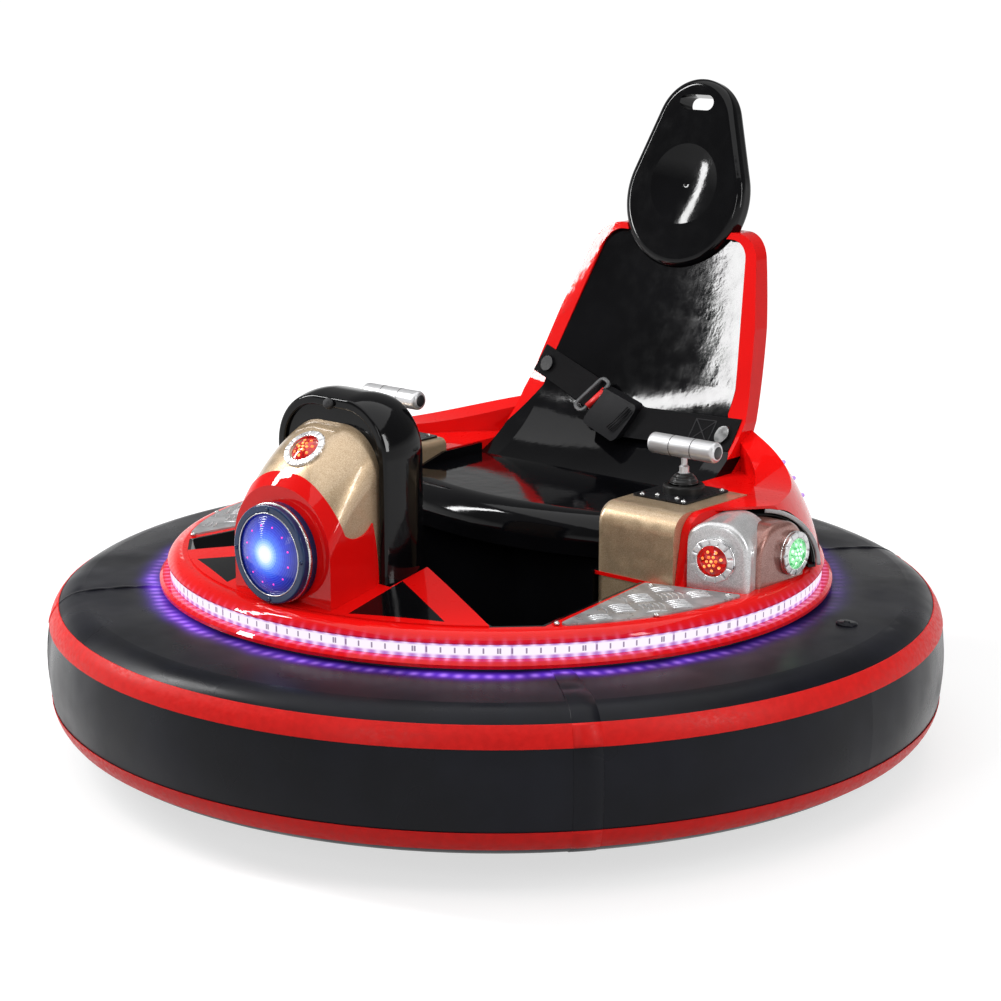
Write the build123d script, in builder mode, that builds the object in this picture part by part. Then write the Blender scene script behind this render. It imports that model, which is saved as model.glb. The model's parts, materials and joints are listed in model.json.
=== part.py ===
"""Battery bumper car with an inflatable ring tube, one seat and two steering levers.

Millimetres. The origin is on the floor under the middle of the ring, +Z is up, the front faces -Y
and the rider's left is +X. Left-hand pieces are modelled and mirrored in the YZ plane.
"""

import os
from math import cos, hypot, radians, sin

from build123d import *

os.makedirs("parts", exist_ok=True)

# Clearances
SKIN_GAP = 0.6  # under a thin band on a round body
SEAT_GAP = 0.3  # between seated pieces with curved faces
RUN_GAP = 0.05  # radial clearance of an axle in its bore
FIT_GAP = 0.5  # round a piece that passes through a panel

# Driving dimensions: hoop and ring tube, from which the plan and the heights follow
HOOP_R = 485  # where the tube sits on the hoop
TUBE_WIDTH = 265
TUBE_HEIGHT = 230
TUBE_BOTTOM = 50
TUBE_BULGE = 18
TUBE_CROWN = 7
TUBE_CORNER_R = 62
TUBE_SEAT_CORNER_R = 38
STRIPE_THICK = 1.2
STRIPE_HEIGHT = 31
STRIPE_FROM_EDGE = 37.5  # middle of a stripe from the tube's top or foot
tube_r = HOOP_R + TUBE_WIDTH
tube_top = TUBE_BOTTOM + TUBE_HEIGHT
tube_mid = TUBE_BOTTOM + TUBE_HEIGHT / 2

# Driving dimensions: chassis
WHEEL_R = 100
HOOP_WALL = 6
HOOP_SKIRT = 50  # below the floor pan
FLANGE_WIDTH = 71
FLANGE_THICK = 5
FLANGE_RISE = 1  # over the tube's top
PAN_OVER_AXLE = 50
PAN_THICK = 6
hoop_outer = HOOP_R - SEAT_GAP
hoop_inner = hoop_outer - HOOP_WALL
pan_bottom = WHEEL_R + PAN_OVER_AXLE
pan_top = pan_bottom + PAN_THICK

# Driving dimensions: deck, light channel and lip
LIP_OVERHANG = 7
LIP_HEIGHT = 10
LIP_BEVEL = 5
DECK_HEIGHT = 50  # from under the lip to the top
DECK_THICK = 6
DECK_EDGE_IN = 14
DECK_ROUND = 25
DECK_EDGE_HEIGHT = 2
STRIP_SINK = 9
STRIP_WALL = 10
STRIP_HEIGHT = 22
STRIP_SLACK = 1
STRIP_THICK = 5
lip_r = HOOP_R + FLANGE_WIDTH + LIP_OVERHANG
lip_bottom = tube_top + FLANGE_RISE + FLANGE_THICK
lip_top = lip_bottom + LIP_HEIGHT
deck_top = lip_bottom + DECK_HEIGHT
deck_edge_r = lip_r - DECK_EDGE_IN
deck_round_r = deck_edge_r - DECK_ROUND
channel_r = deck_edge_r - STRIP_SINK
channel_top = lip_top + STRIP_HEIGHT + STRIP_SLACK

# Driving dimensions: side consoles, plates and levers
CONSOLE_IN = 81  # outer side from the hoop
CONSOLE_WIDTH = 154
CONSOLE_FRONT_Y = -44
CONSOLE_LENGTH = 196
CONSOLE_DEPTH = 104  # below the deck
CONSOLE_RISE = 113  # above the deck
CONSOLE_LIP_R = 34
CONSOLE_EDGE_R = 12
PLATE_WIDTH = 106
PLATE_LENGTH = 122
PLATE_THICK = 3
PLATE_CORNER_R = 6
PLATE_SHIFT = (-3, -4)  # from the lever
LEVER_IN = 5  # from the console's middle towards the seat
LEVER_FROM_BACK = 60
BOOT_R = 34
BOOT_HEIGHT = 14
BOOT_ROUND = 4
BOOT_DOME_R = 24
BOOT_DOME_GAP = 1
BOOT_DOME_LOW = 6
PIVOT_RISE = 10
PIVOT_BALL_R = 8
PIVOT_PIN_R = 3
PIVOT_PIN_HOLD = 2
LEVER_ROD_R = 5
LEVER_COLLAR = 3
LEVER_COLLAR_RISE = 8
GRIP_RISE = 63  # above the pivot
GRIP_R = 17
GRIP_LENGTH = 132
GRIP_ROUND = 7
console_outer = HOOP_R - CONSOLE_IN
console_inner = console_outer - CONSOLE_WIDTH
console_back = CONSOLE_FRONT_Y + CONSOLE_LENGTH
console_bottom = deck_top - CONSOLE_DEPTH
console_top = deck_top + CONSOLE_RISE
lever_x = (console_inner + console_outer) / 2 - LEVER_IN
lever_y = console_back - LEVER_FROM_BACK
plate_top = console_top + PLATE_THICK
pivot_z = plate_top + PIVOT_RISE

# Driving dimensions: seat, shell and headrest
SEAT_SIDE_GAP = 2
SEAT_FRONT_Y = 10
SEAT_RISE = 74
SEAT_WALL = 6
SEAT_LIP_R = 46
SEAT_BOW = 52  # middle of the lip ahead of its ends
SEAT_BOW_OVER = 6  # foot of the lip over the deck
SEAT_SIDE_RISE = 18
SEAT_SIDE_FROM = 60
SEAT_SIDE_SLOPE = 70
BACK_LOW = (-245, 0)  # y from the hoop and z from the seat, where the back leaves the pan
BACK_KNEE = (-93, 150)
BACK_TOP = (12, 402)
BACK_THICK = 20
BACK_DISH = 12
BACK_FOOT_RISE = 45  # over the seat, where the full width ends
BACK_WAIST_RISE = 110
BACK_LOW_IN = 41  # half width under the seat's
BACK_TOP_IN = 96
BACK_TOP_CORNER_R = 40
SHELL_LOW_RISE = 100
SHELL_WAIST = (32, 250)  # in from the seat's side, z from the seat
SHELL_TOP = (78, 404)
SHELL_CORNER_R = 58
SHELL_RIM_R = 9
SHELL_REAR_MID = (34, 240)  # in from the deck's edge, z from the seat
SHELL_REAR_TOP = (-7, 420)
HEADREST_FOOT = (-23, -66)  # from the top of the back
HEADREST_LEAN = 14
HEADREST_THICK = 40
HEADREST_LOW_R = 128
HEADREST_TOP_R = 86
HEADREST_HEIGHT = 340
HEADREST_EDGE_R = 14
HEADREST_LEAD = 60
SLOT_LENGTH = 74
SLOT_HEIGHT = 27
SLOT_FROM_TOP = 44
DISH_R = 72
DISH_DEPTH = 8
DISH_FROM_FOOT = 150
seat_half = console_inner - SEAT_SIDE_GAP
seat_top = deck_top + SEAT_RISE
back_low = (HOOP_R + BACK_LOW[0], seat_top + BACK_LOW[1])
back_knee = (HOOP_R + BACK_KNEE[0], seat_top + BACK_KNEE[1])
back_top = (HOOP_R + BACK_TOP[0], seat_top + BACK_TOP[1])

# Driving dimensions: nose, apron and hood
NOSE_FRONT_OUT = 13  # headlight face from the hoop
NOSE_SECTIONS = [  # from the front, half width, height over the deck, corner radius
    (0, 101, 177, 94),
    (98, 100, 256, 76),
    (192, 97, 276, 70),
]
COWL_STEP = 3
COWL_BROW = [(18, 209), (20, 150), (33, 114)]  # from the front and over the deck, down to the notch
COWL_NOTCH = [(62, 105), (94, 122)]
COWL_TAIL = [(103, 74), (107, 4)]
HOOD_FROM_FRONT = 108
HOOD_DEPTH = 86
HOOD_HALF_WIDTH = 124
HOOD_HEIGHT = 308
HOOD_WALL = 22
HOOD_CROWN = 8
HOOD_ROLL_R = 6
HOOD_LIP = 16
HOOD_CORNER_R = 92
HEADLIGHT_R = 77
HEADLIGHT_DEPTH = 28
HEADLIGHT_RISE = 79
HEADLIGHT_RIM = 13
HEADLIGHT_ROUND = 3
HEADLIGHT_SINK = 4
HEADLIGHT_DOME = 12
APRON_IN = 8  # from the deck's shoulder
APRON_RISE = 34
APRON_TRIM = 2
INLAY_DEPTH = 2.5
INLAY_BACK = (2, 134)  # out from the hood's side, from the front
INLAY_FRONT = (9, 8)
INLAY_SIDE_TURN = 57.6
INLAY_SIDE_IN = 9
nose_front = -HOOP_R - NOSE_FRONT_OUT
apron_r = deck_round_r - APRON_IN
apron_back = nose_front + NOSE_SECTIONS[-1][0]
hood_mid_y = nose_front + HOOD_FROM_FRONT + HOOD_DEPTH / 2
headlight_z = deck_top + HEADLIGHT_RISE

# Driving dimensions: foot tub, whose outer corners lie on circles at three levels
TUB_WALL = 5
TUB_FLOOR = 8
TUB_FRONT_TURN = 50
TUB_SIDE_TURN = 41
TUB_DECK_IN = 8  # outer corners from the deck's shoulder
TUB_HOOP_IN = 22
TUB_FLOOR_IN = 76
TUB_SIDE_DECK = 102  # side wall from the console's inner face
TUB_SIDE_HOOP = 80
TUB_SIDE_FLOOR = 36
TUB_NOSE_X = 118
TUB_DRAFT = 5
TUB_CLEAR = 2
tub_hoop_z = lip_bottom - TUB_CLEAR

# Driving dimensions: fenders, arches, lamp pods and steps
FENDER_FOOT_IN = 8  # from the deck's edge
FENDER_BELLY = (35, 75)  # in from the deck's edge, z over the deck
FENDER_RIDGE = (86, 154)
FENDER_CREST = (111, 192)
FENDER_FLAT = 112  # roof over the deck beside the consoles
FENDER_FLAT_END = 210
FENDER_REAR = (412, 176)  # y and height over the deck where the roof meets the shell
TRAY_RISE = 94
TRAY_IN = 53  # from the hoop
ARCH_IN = 53
ARCH_FROM_FRONT = 121  # middle from the console's front
ARCH_TURN = 52.8
ARCH_HALF_WIDTH = 146
ARCH_HEIGHT = 108
ARCH_CORNER_R = 100
ARCH_DEPTH = 92
ARCH_REACH = 200
ARCH_LIP = 8
RIM_WIDTH = 14
RIM_FOOT = 4  # from the console's front
RIM_SHOULDER = 24
RIM_R = 40
LINER_THICK = 13
LINER_SHARE = 0.8
POD_EDGE_R = 10
FRONT_POD_IN = 22
FRONT_POD_Y = -15
FRONT_POD_TURN = 15
FRONT_POD_HALF = 56
FRONT_POD_HEIGHT = 107
FRONT_POD_CORNER_R = 50
FRONT_POD_DEPTH = 100
FRONT_POD_LAMP = (-1, 49)
SIDE_POD_OUT = 29
SIDE_POD_Y = 95
SIDE_POD_TURN = 90
SIDE_POD_HALF = 66
SIDE_POD_HEIGHT = 94
SIDE_POD_CORNER_R = 54
SIDE_POD_DEPTH = 80
SIDE_POD_LAMP = (26, 42)
STEP_IN = 5  # from the deck's shoulder
STEP_TUB_GAP = 9
STEP_FRONT_OUT = 20
STEP_BACK_Y = -58
STEP_CORNER_Y = -13
STEP_CORNER_OUT = 45
STEP_ROUND = 8
STEP_THICK = 3

# Driving dimensions: lamps
LAMP_R = 35
LAMP_RIM = 10
LAMP_HEIGHT = 10
LAMP_DOME = 8
LAMP_SINK = 4
LAMP_FLUTES = 12
LAMP_FLUTE_R = 4
NOSE_LAMP_FROM_FRONT = 58

# Driving dimensions: lap belt
BELT_WIDTH = 48
BELT_THICK = 2.6
BELT_GAP = 0.2
BELT_LEFT_IN = 8  # anchor from the seat's side
BELT_LEFT_RISE = 82
BELT_LEFT_END = (18, 76)  # x, z from the seat
BELT_RIGHT_IN = 16
BELT_RIGHT_RISE = 156
BELT_RIGHT_END = (-62, 102)
BUCKLE_MID = (-22, 86)
BUCKLE_LENGTH = 92
BUCKLE_WIDTH = 60
BUCKLE_CORNER_R = 9
BUCKLE_THICK = 22
BUCKLE_TURN = -14
BOLT_R = 13
BOLT_HEIGHT = 7

# Driving dimensions: battery, drives and casters
BATTERY_SIDE_ROOM = 58
BATTERY_END_ROOM = 20
BATTERY_HEAD_ROOM = 6  # under the deck
WHEEL_IN = 155  # middle of the tyre from the hoop
WHEEL_Y = 60
WHEEL_WIDTH = 52
TYRE_DEPTH = 34
TYRE_BEVEL = 9
HUB_BOSS_R = 26
HUB_RIM = 11
HUB_WEB = 10
HUB_RIM_IN = 4
AXLE_R = 10
AXLE_IN = 34
AXLE_END_GAP = 1
GEARBOX_FROM_WHEEL = 76
GEARBOX_WIDTH = 40
GEARBOX_LENGTH = 100
MOTOR_R = 44
MOTOR_LENGTH = 130
SLOT_CLEAR = 14
CASTER_IN = 113
CASTER_PLATE_LENGTH = 104
CASTER_PLATE_WIDTH = 84
CASTER_PLATE_THICK = 6
CASTER_PLATE_CORNER_R = 8
CASTER_RACE_R = 29
CASTER_RACE = 14
CASTER_GAP = 1.0
CASTER_WHEEL_SHARE = 0.5  # of the drive wheel's radius
CASTER_WHEEL_WIDTH = 32
CASTER_WHEEL_BEVEL = 6
CASTER_TRAIL = 34
KINGPIN_R = 8
KINGPIN_HEAD = 4
KINGPIN_HEAD_HEIGHT = 6
FORK_TOP_R = 32
FORK_TOP_HEIGHT = 16
FORK_ARM = 30
FORK_EYE_R = 15
FORK_LEG = 6
FORK_SIDE_GAP = 5
PIN_R = 6
PIN_END = 3
wheel_x = HOOP_R - WHEEL_IN
caster_y = HOOP_R - CASTER_IN
caster_r = WHEEL_R * CASTER_WHEEL_SHARE


def save(built, name):
    """Names a finished part and writes its STEP file."""
    built.part.label = name
    export_step(built.part, f"parts/{name}.step")


def pair(built, base):
    """Writes a left-hand part and its mirror image in the YZ plane."""
    save(built, f"{base}_left")
    with BuildPart() as twin:
        mirror(built.part, about=Plane.YZ)
    save(twin, f"{base}_right")


def both(built, name):
    """Writes a left-hand piece and its mirror image as one node of two solids."""
    with BuildPart() as two:
        add(built.part)
        mirror(about=Plane.YZ)
    save(two, name)


def polar(radius, turn):
    """Plan point on a circle, turned from the rider's left towards the front."""
    return (radius * cos(radians(turn)), -radius * sin(radians(turn)))


def both_sides(points):
    """Left-hand plan points followed by their mirror images, as one closed loop."""
    return points + [(-x, y) for x, y in reversed(points)]


def inset(loop, wall):
    """Closed loop of plan points, in left-turning order, moved inwards by a wall thickness."""
    moved = []
    for i, (x, y) in enumerate(loop):
        sides = []
        for (xa, ya), (xb, yb) in ((loop[i - 1], (x, y)), ((x, y), loop[(i + 1) % len(loop)])):
            run = hypot(xb - xa, yb - ya)
            sides.append(((ya - yb) / run, (xb - xa) / run))
        (ax, ay), (bx, by) = sides
        share = wall / (1 + ax * bx + ay * by)
        moved.append((x + (ax + bx) * share, y + (ay + by) * share))
    return moved


def arch_outline(half, bottom, top, corner, mode=Mode.ADD):
    """Upright outline with a flat foot, straight sides and two round upper corners."""
    reach = corner * cos(radians(45))
    with BuildLine() as outline:
        Polyline((half, top - corner), (half, bottom), (-half, bottom), (-half, top - corner))
        shoulder, side = top - corner, half - corner
        ThreePointArc((half, shoulder), (side + reach, shoulder + reach), (side, top))
        if half > corner:
            Line((side, top), (-side, top))
        ThreePointArc((-side, top), (-side - reach, shoulder + reach), (-half, shoulder))
    make_face(outline.edges(), mode=mode)


def facing(x, y, turn, z=deck_top):
    """Upright plane through a plan point, facing the given turn from straight ahead towards the left."""
    a = radians(turn)
    return Plane(origin=(x, y, z), x_dir=(cos(a), sin(a), 0), z_dir=(sin(a), -cos(a), 0))


# Ring tube: one closed inflated ring with a bowed wall, a crowned top and foot, and a flat seat
def tube_outline(grow=0):
    """Closed section of the ring tube in the XZ plane, grown all round."""
    corner_r = tube_r - TUBE_BULGE
    top = tube_top - TUBE_CROWN
    foot = TUBE_BOTTOM + TUBE_CROWN
    crown_r = (corner_r + HOOP_R) / 2
    with BuildSketch(Plane.XZ) as section:
        with BuildLine():
            ThreePointArc((corner_r, foot), (tube_r, tube_mid), (corner_r, top))
            ThreePointArc((corner_r, top), (crown_r, tube_top), (HOOP_R, top))
            Line((HOOP_R, top), (HOOP_R, foot))
            ThreePointArc((HOOP_R, foot), (crown_r, TUBE_BOTTOM), (corner_r, foot))
        make_face()
        fillet(section.vertices().group_by(Axis.X)[-1], TUBE_CORNER_R)
        fillet(section.vertices().group_by(Axis.X)[0], TUBE_SEAT_CORNER_R)
        if grow:
            offset(amount=grow)
    return section.sketch_local


with BuildPart() as tube:
    with BuildSketch(Plane.XZ):
        add(tube_outline())
    revolve(axis=Axis.Z)
save(tube, "bumper_tube")

# Stripes: two welded bands round the tube's outer shoulders
with BuildPart() as stripes:
    with BuildSketch(Plane.XZ):
        add(tube_outline(SKIN_GAP + STRIPE_THICK))
        add(tube_outline(SKIN_GAP), mode=Mode.SUBTRACT)
        with Locations((tube_r, tube_top - STRIPE_FROM_EDGE)):
            Rectangle(TUBE_WIDTH, STRIPE_HEIGHT, mode=Mode.INTERSECT)
    revolve(axis=Axis.Z)
    mirror(about=Plane.XY.offset(tube_mid))
save(stripes, "tube_stripes")

# Chassis hoop: rolled steel wall that carries the tube, with a flange under the deck's lip
with BuildPart() as hoop:
    with BuildSketch(Plane.XZ):
        Polygon(
            (hoop_inner, pan_bottom - HOOP_SKIRT),
            (hoop_outer, pan_bottom - HOOP_SKIRT),
            (hoop_outer, lip_bottom - FLANGE_THICK),
            (HOOP_R + FLANGE_WIDTH, lip_bottom - FLANGE_THICK),
            (HOOP_R + FLANGE_WIDTH, lip_bottom),
            (hoop_inner, lip_bottom),
            align=None,
        )
    revolve(axis=Axis.Z)
save(hoop, "chassis_hoop")

# Floor pan: round plate inside the hoop, slotted for the drive wheels
with BuildPart() as pan:
    with BuildSketch(Plane.XY.offset(pan_bottom)):
        Circle(hoop_inner - SEAT_GAP)
        with Locations((wheel_x, WHEEL_Y), (-wheel_x, WHEEL_Y)):
            SlotOverall(
                2 * (WHEEL_R + SLOT_CLEAR),
                WHEEL_WIDTH + 2 * SLOT_CLEAR,
                rotation=90,
                mode=Mode.SUBTRACT,
            )
    extrude(amount=PAN_THICK)
save(pan, "floor_pan")


# Foot tub: hollow well from the deck down to the floor pan, narrower inside the hoop
def tub_plan(corner_r, side, draft=0):
    """Closed plan of the tub at one level, from its outer corners' radius and its side wall's place."""
    return both_sides(
        [
            (TUB_NOSE_X - draft, apron_back + TUB_WALL + draft),
            polar(corner_r, TUB_FRONT_TURN),
            polar(corner_r, TUB_SIDE_TURN),
            (console_inner + side, CONSOLE_FRONT_Y - TUB_CLEAR - draft),
            (seat_half + TUB_CLEAR / 2 - draft, CONSOLE_FRONT_Y - TUB_CLEAR - draft),
            (seat_half + TUB_CLEAR / 2 - draft, SEAT_FRONT_Y - TUB_CLEAR),
        ]
    )


tub_deck_plan = tub_plan(deck_round_r - TUB_DECK_IN, TUB_SIDE_DECK)
tub_hoop_plan = tub_plan(hoop_inner - TUB_HOOP_IN, TUB_SIDE_HOOP)
tub_floor_plan = tub_plan(hoop_inner - TUB_FLOOR_IN, TUB_SIDE_FLOOR, TUB_DRAFT)
with BuildPart() as tub:
    for level, plan in ((pan_top, tub_floor_plan), (tub_hoop_z, tub_hoop_plan), (deck_top, tub_deck_plan)):
        with BuildSketch(Plane.XY.offset(level)):
            Polygon(*plan, align=None)
    loft(ruled=True)
    for level, plan in (
        (pan_top + TUB_FLOOR, tub_floor_plan),
        (tub_hoop_z, tub_hoop_plan),
        (deck_top, tub_deck_plan),
    ):
        with BuildSketch(Plane.XY.offset(level)):
            Polygon(*inset(plan, TUB_WALL), align=None)
    loft(ruled=True, mode=Mode.SUBTRACT)
    with BuildSketch(Plane.XY.offset(console_bottom + TUB_FLOOR)):
        with Locations((0, CONSOLE_FRONT_Y)):
            Rectangle(2 * console_outer, 4 * TUB_WALL)
            Rectangle(2 * console_inner, 6 * TUB_WALL, mode=Mode.SUBTRACT)
    extrude(amount=CONSOLE_DEPTH, mode=Mode.SUBTRACT)
save(tub, "foot_tub")

# Deck: plate with a rounded shoulder, a light channel and a lip over the tube
seat_back_y = back_low[0]
with BuildPart() as deck:
    with BuildSketch(Plane.XZ):
        with BuildLine():
            Polyline((0, deck_top - DECK_THICK), (0, deck_top), (deck_round_r, deck_top))
            TangentArc(
                (deck_round_r, deck_top),
                (deck_edge_r, channel_top + DECK_EDGE_HEIGHT),
                tangent=(1, 0),
            )
            Polyline(
                (deck_edge_r, channel_top + DECK_EDGE_HEIGHT),
                (deck_edge_r, channel_top),
                (channel_r, channel_top),
                (channel_r, lip_top),
                (lip_r - LIP_BEVEL, lip_top),
                (lip_r, lip_top - LIP_BEVEL),
                (lip_r, lip_bottom),
                (channel_r - STRIP_WALL, lip_bottom),
                (channel_r - STRIP_WALL, deck_top - DECK_THICK),
                (0, deck_top - DECK_THICK),
            )
        make_face()
    revolve(axis=Axis.Z)
    with BuildSketch(Plane.XY.offset(lip_bottom)):
        Polygon(*inset(tub_deck_plan, -FIT_GAP), align=None)
        with Locations((0, CONSOLE_FRONT_Y - FIT_GAP)):
            Rectangle(
                2 * (console_outer + FIT_GAP),
                CONSOLE_LENGTH + 2 * FIT_GAP,
                align=(Align.CENTER, Align.MIN),
            )
        with Locations((0, SEAT_FRONT_Y - FIT_GAP)):
            Rectangle(
                2 * (seat_half + FIT_GAP),
                seat_back_y - SEAT_FRONT_Y + 2 * FIT_GAP,
                align=(Align.CENTER, Align.MIN),
            )
    extrude(amount=DECK_HEIGHT, mode=Mode.SUBTRACT)
save(deck, "deck")

# Light strip: clear band set into the channel round the deck
with BuildPart() as strip:
    with BuildSketch(Plane.XZ):
        with Locations((channel_r + SEAT_GAP, (channel_top + lip_top) / 2)):
            Rectangle(STRIP_THICK, STRIP_HEIGHT, align=(Align.MIN, Align.CENTER))
    revolve(axis=Axis.Z)
save(strip, "light_strip")


# Nose: one rounded body from the headlight back to the hood, parted along a wavy line
def nose_body(grow=0):
    """Smooth body through the nose sections, each grown outwards and upwards."""
    with BuildPart() as body:
        for back, half, rise, corner in NOSE_SECTIONS:
            with BuildSketch(Plane.XZ.offset(-nose_front - back)):
                arch_outline(half + grow, deck_top, deck_top + rise + grow, corner + grow)
        loft()
    return body.part


def on_nose(points):
    """Side-view points from distances behind the headlight face and heights over the deck."""
    return [(nose_front + back, deck_top + rise) for back, rise in points]


brow, notch, tail = on_nose(COWL_BROW), on_nose(COWL_NOTCH), on_nose(COWL_TAIL)
with BuildPart() as cowl_side:
    with BuildSketch(Plane.YZ):
        with BuildLine():
            ThreePointArc(*brow)
            ThreePointArc(brow[-1], *notch)
            ThreePointArc(notch[-1], *tail)
            Polyline(
                tail[-1],
                (tail[-1][0], deck_top - DECK_THICK),
                (nose_front - HEADLIGHT_R, deck_top - DECK_THICK),
                (nose_front - HEADLIGHT_R, brow[0][1]),
                brow[0],
            )
        make_face()
    extrude(amount=2 * HOOD_HALF_WIDTH, both=True)
with BuildPart() as cowl:
    add(nose_body(COWL_STEP))
    add(cowl_side.part, mode=Mode.INTERSECT)
save(cowl, "headlight_cowl")
with BuildPart() as console:
    add(nose_body())
    add(cowl_side.part, mode=Mode.SUBTRACT)
save(console, "front_console")

# Console hood: crowned band swept up one leg, over the console and down the other, lipped down to the nose
with BuildPart() as hood:
    with BuildLine(Plane.XZ.offset(-hood_mid_y)) as hood_path:
        FilletPolyline(
            (HOOD_HALF_WIDTH, deck_top),
            (HOOD_HALF_WIDTH, deck_top + HOOD_HEIGHT),
            (-HOOD_HALF_WIDTH, deck_top + HOOD_HEIGHT),
            (-HOOD_HALF_WIDTH, deck_top),
            radius=HOOD_CORNER_R,
        )
    with BuildSketch(Plane(origin=(HOOD_HALF_WIDTH, hood_mid_y, deck_top))) as hood_band:
        with BuildLine():
            ThreePointArc((-HOOD_CROWN, -HOOD_DEPTH / 2), (0, 0), (-HOOD_CROWN, HOOD_DEPTH / 2))
            Polyline(
                (-HOOD_CROWN, HOOD_DEPTH / 2),
                (-HOOD_WALL, HOOD_DEPTH / 2),
                (-HOOD_WALL, -HOOD_DEPTH / 2),
                (-HOOD_CROWN, -HOOD_DEPTH / 2),
            )
        make_face()
        fillet(hood_band.vertices().group_by(Axis.X)[-1], HOOD_ROLL_R)
        fillet(hood_band.vertices().group_by(Axis.X)[0], HOOD_ROLL_R / 2)
    sweep(path=hood_path.wires()[0])
    with BuildSketch(Plane.XZ.offset(HOOD_DEPTH / 2 - HOOD_ROLL_R - hood_mid_y)):
        arch_outline(
            HOOD_HALF_WIDTH - HOOD_WALL / 2,
            deck_top,
            deck_top + HOOD_HEIGHT - HOOD_WALL / 2,
            HOOD_CORNER_R - HOOD_WALL / 2,
        )
    extrude(amount=-HOOD_LIP)
    add(nose_body(SEAT_GAP), mode=Mode.SUBTRACT)
save(hood, "console_hood")

# Front apron: low cone between the foot well and the rim, with two dark inlays let into it
apron_inner = hypot(HOOD_HALF_WIDTH, apron_back) / 2
apron_slope = APRON_RISE / (apron_r - hypot(HOOD_HALF_WIDTH, apron_back))
apron_edge = deck_top + INLAY_DEPTH
apron_high = apron_edge + (apron_r - apron_inner) * apron_slope
inlay_plan = [
    (HOOD_HALF_WIDTH + INLAY_BACK[0], nose_front + INLAY_BACK[1]),
    (HOOD_HALF_WIDTH + INLAY_FRONT[0], nose_front + INLAY_FRONT[1]),
    polar(apron_r - INLAY_SIDE_IN, INLAY_SIDE_TURN),
]
with BuildPart() as inlays:
    with BuildSketch(Plane.XZ):
        Polygon(
            (apron_inner, apron_high - INLAY_DEPTH),
            (apron_r, apron_edge - INLAY_DEPTH),
            (apron_r, apron_edge),
            (apron_inner, apron_high),
            align=None,
        )
    revolve(axis=Axis.Z)
    with BuildSketch(Plane.XY.offset(deck_top)):
        Polygon(*inlay_plan, align=None)
        Polygon(*[(-x, y) for x, y in inlay_plan], align=None)
    extrude(amount=2 * APRON_RISE, mode=Mode.INTERSECT)
save(inlays, "apron_inlays")

with BuildPart() as apron:
    with BuildSketch(Plane.XZ):
        Polygon(
            (apron_inner, deck_top),
            (apron_r, deck_top),
            (apron_r, apron_edge),
            (apron_inner, apron_high),
            align=None,
        )
    revolve(axis=Axis.Z)
    with BuildSketch(Plane.XY.offset(deck_top)):
        apron_tip = polar(apron_r + APRON_TRIM, TUB_FRONT_TURN)
        Polygon(
            *both_sides(
                [
                    (HOOD_HALF_WIDTH + APRON_TRIM, apron_back),
                    apron_tip,
                    (apron_tip[0], -2 * apron_r),
                ]
            ),
            align=None,
        )
    extrude(amount=3 * APRON_RISE, mode=Mode.INTERSECT)
    add(inlays.part, mode=Mode.SUBTRACT)
    add(nose_body(COWL_STEP + SEAT_GAP), mode=Mode.SUBTRACT)
    with BuildSketch(Plane.XY.offset(deck_top)):
        with Locations((0, hood_mid_y)):
            Rectangle(2 * HOOD_HALF_WIDTH, HOOD_DEPTH)
    extrude(amount=3 * APRON_RISE, mode=Mode.SUBTRACT)
    with BuildSketch(Plane.XZ.offset(-nose_front)):
        with Locations((0, headlight_z)):
            Circle(HEADLIGHT_R + SEAT_GAP)
    extrude(amount=2 * HEADLIGHT_DEPTH, mode=Mode.SUBTRACT)
save(apron, "front_apron")

# Headlight: round bezel and domed lens on the cowl's front face
with BuildPart() as bezel:
    with BuildSketch(Plane.XZ.offset(-nose_front)):
        with Locations((0, headlight_z)):
            Circle(HEADLIGHT_R)
            Circle(HEADLIGHT_R - HEADLIGHT_RIM, mode=Mode.SUBTRACT)
    extrude(amount=HEADLIGHT_DEPTH)
    fillet(bezel.faces().sort_by(Axis.Y)[0].edges(), HEADLIGHT_ROUND)
save(bezel, "headlight_bezel")
lens_edge_y = nose_front - HEADLIGHT_DEPTH + HEADLIGHT_SINK
lens_top_z = headlight_z + HEADLIGHT_R - HEADLIGHT_RIM - SEAT_GAP
with BuildPart() as lens:
    with BuildSketch(Plane.YZ):
        with BuildLine():
            Polyline(
                (lens_edge_y - HEADLIGHT_DOME, headlight_z),
                (nose_front, headlight_z),
                (nose_front, lens_top_z),
                (lens_edge_y, lens_top_z),
            )
            TangentArc(
                (lens_edge_y - HEADLIGHT_DOME, headlight_z),
                (lens_edge_y, lens_top_z),
                tangent=(0, 1),
            )
        make_face()
    revolve(axis=Axis((0, 0, headlight_z), (0, 1, 0)))
save(lens, "headlight_lens")

# Side consoles: rounded boxes beside the seat that carry the levers
with BuildPart() as side_console:
    with BuildSketch(Plane.XY.offset(console_bottom)):
        with Locations((console_inner, CONSOLE_FRONT_Y)):
            Rectangle(CONSOLE_WIDTH, CONSOLE_LENGTH, align=(Align.MIN, Align.MIN))
    extrude(amount=console_top - console_bottom)
    fillet(side_console.edges().filter_by(Axis.X).group_by(Axis.Z)[-1].sort_by(Axis.Y)[0], CONSOLE_LIP_R)
    fillet(side_console.edges().filter_by(Axis.Z).group_by(Axis.Y)[0].sort_by(Axis.X)[0], CONSOLE_EDGE_R)
both(side_console, "side_consoles")

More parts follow.
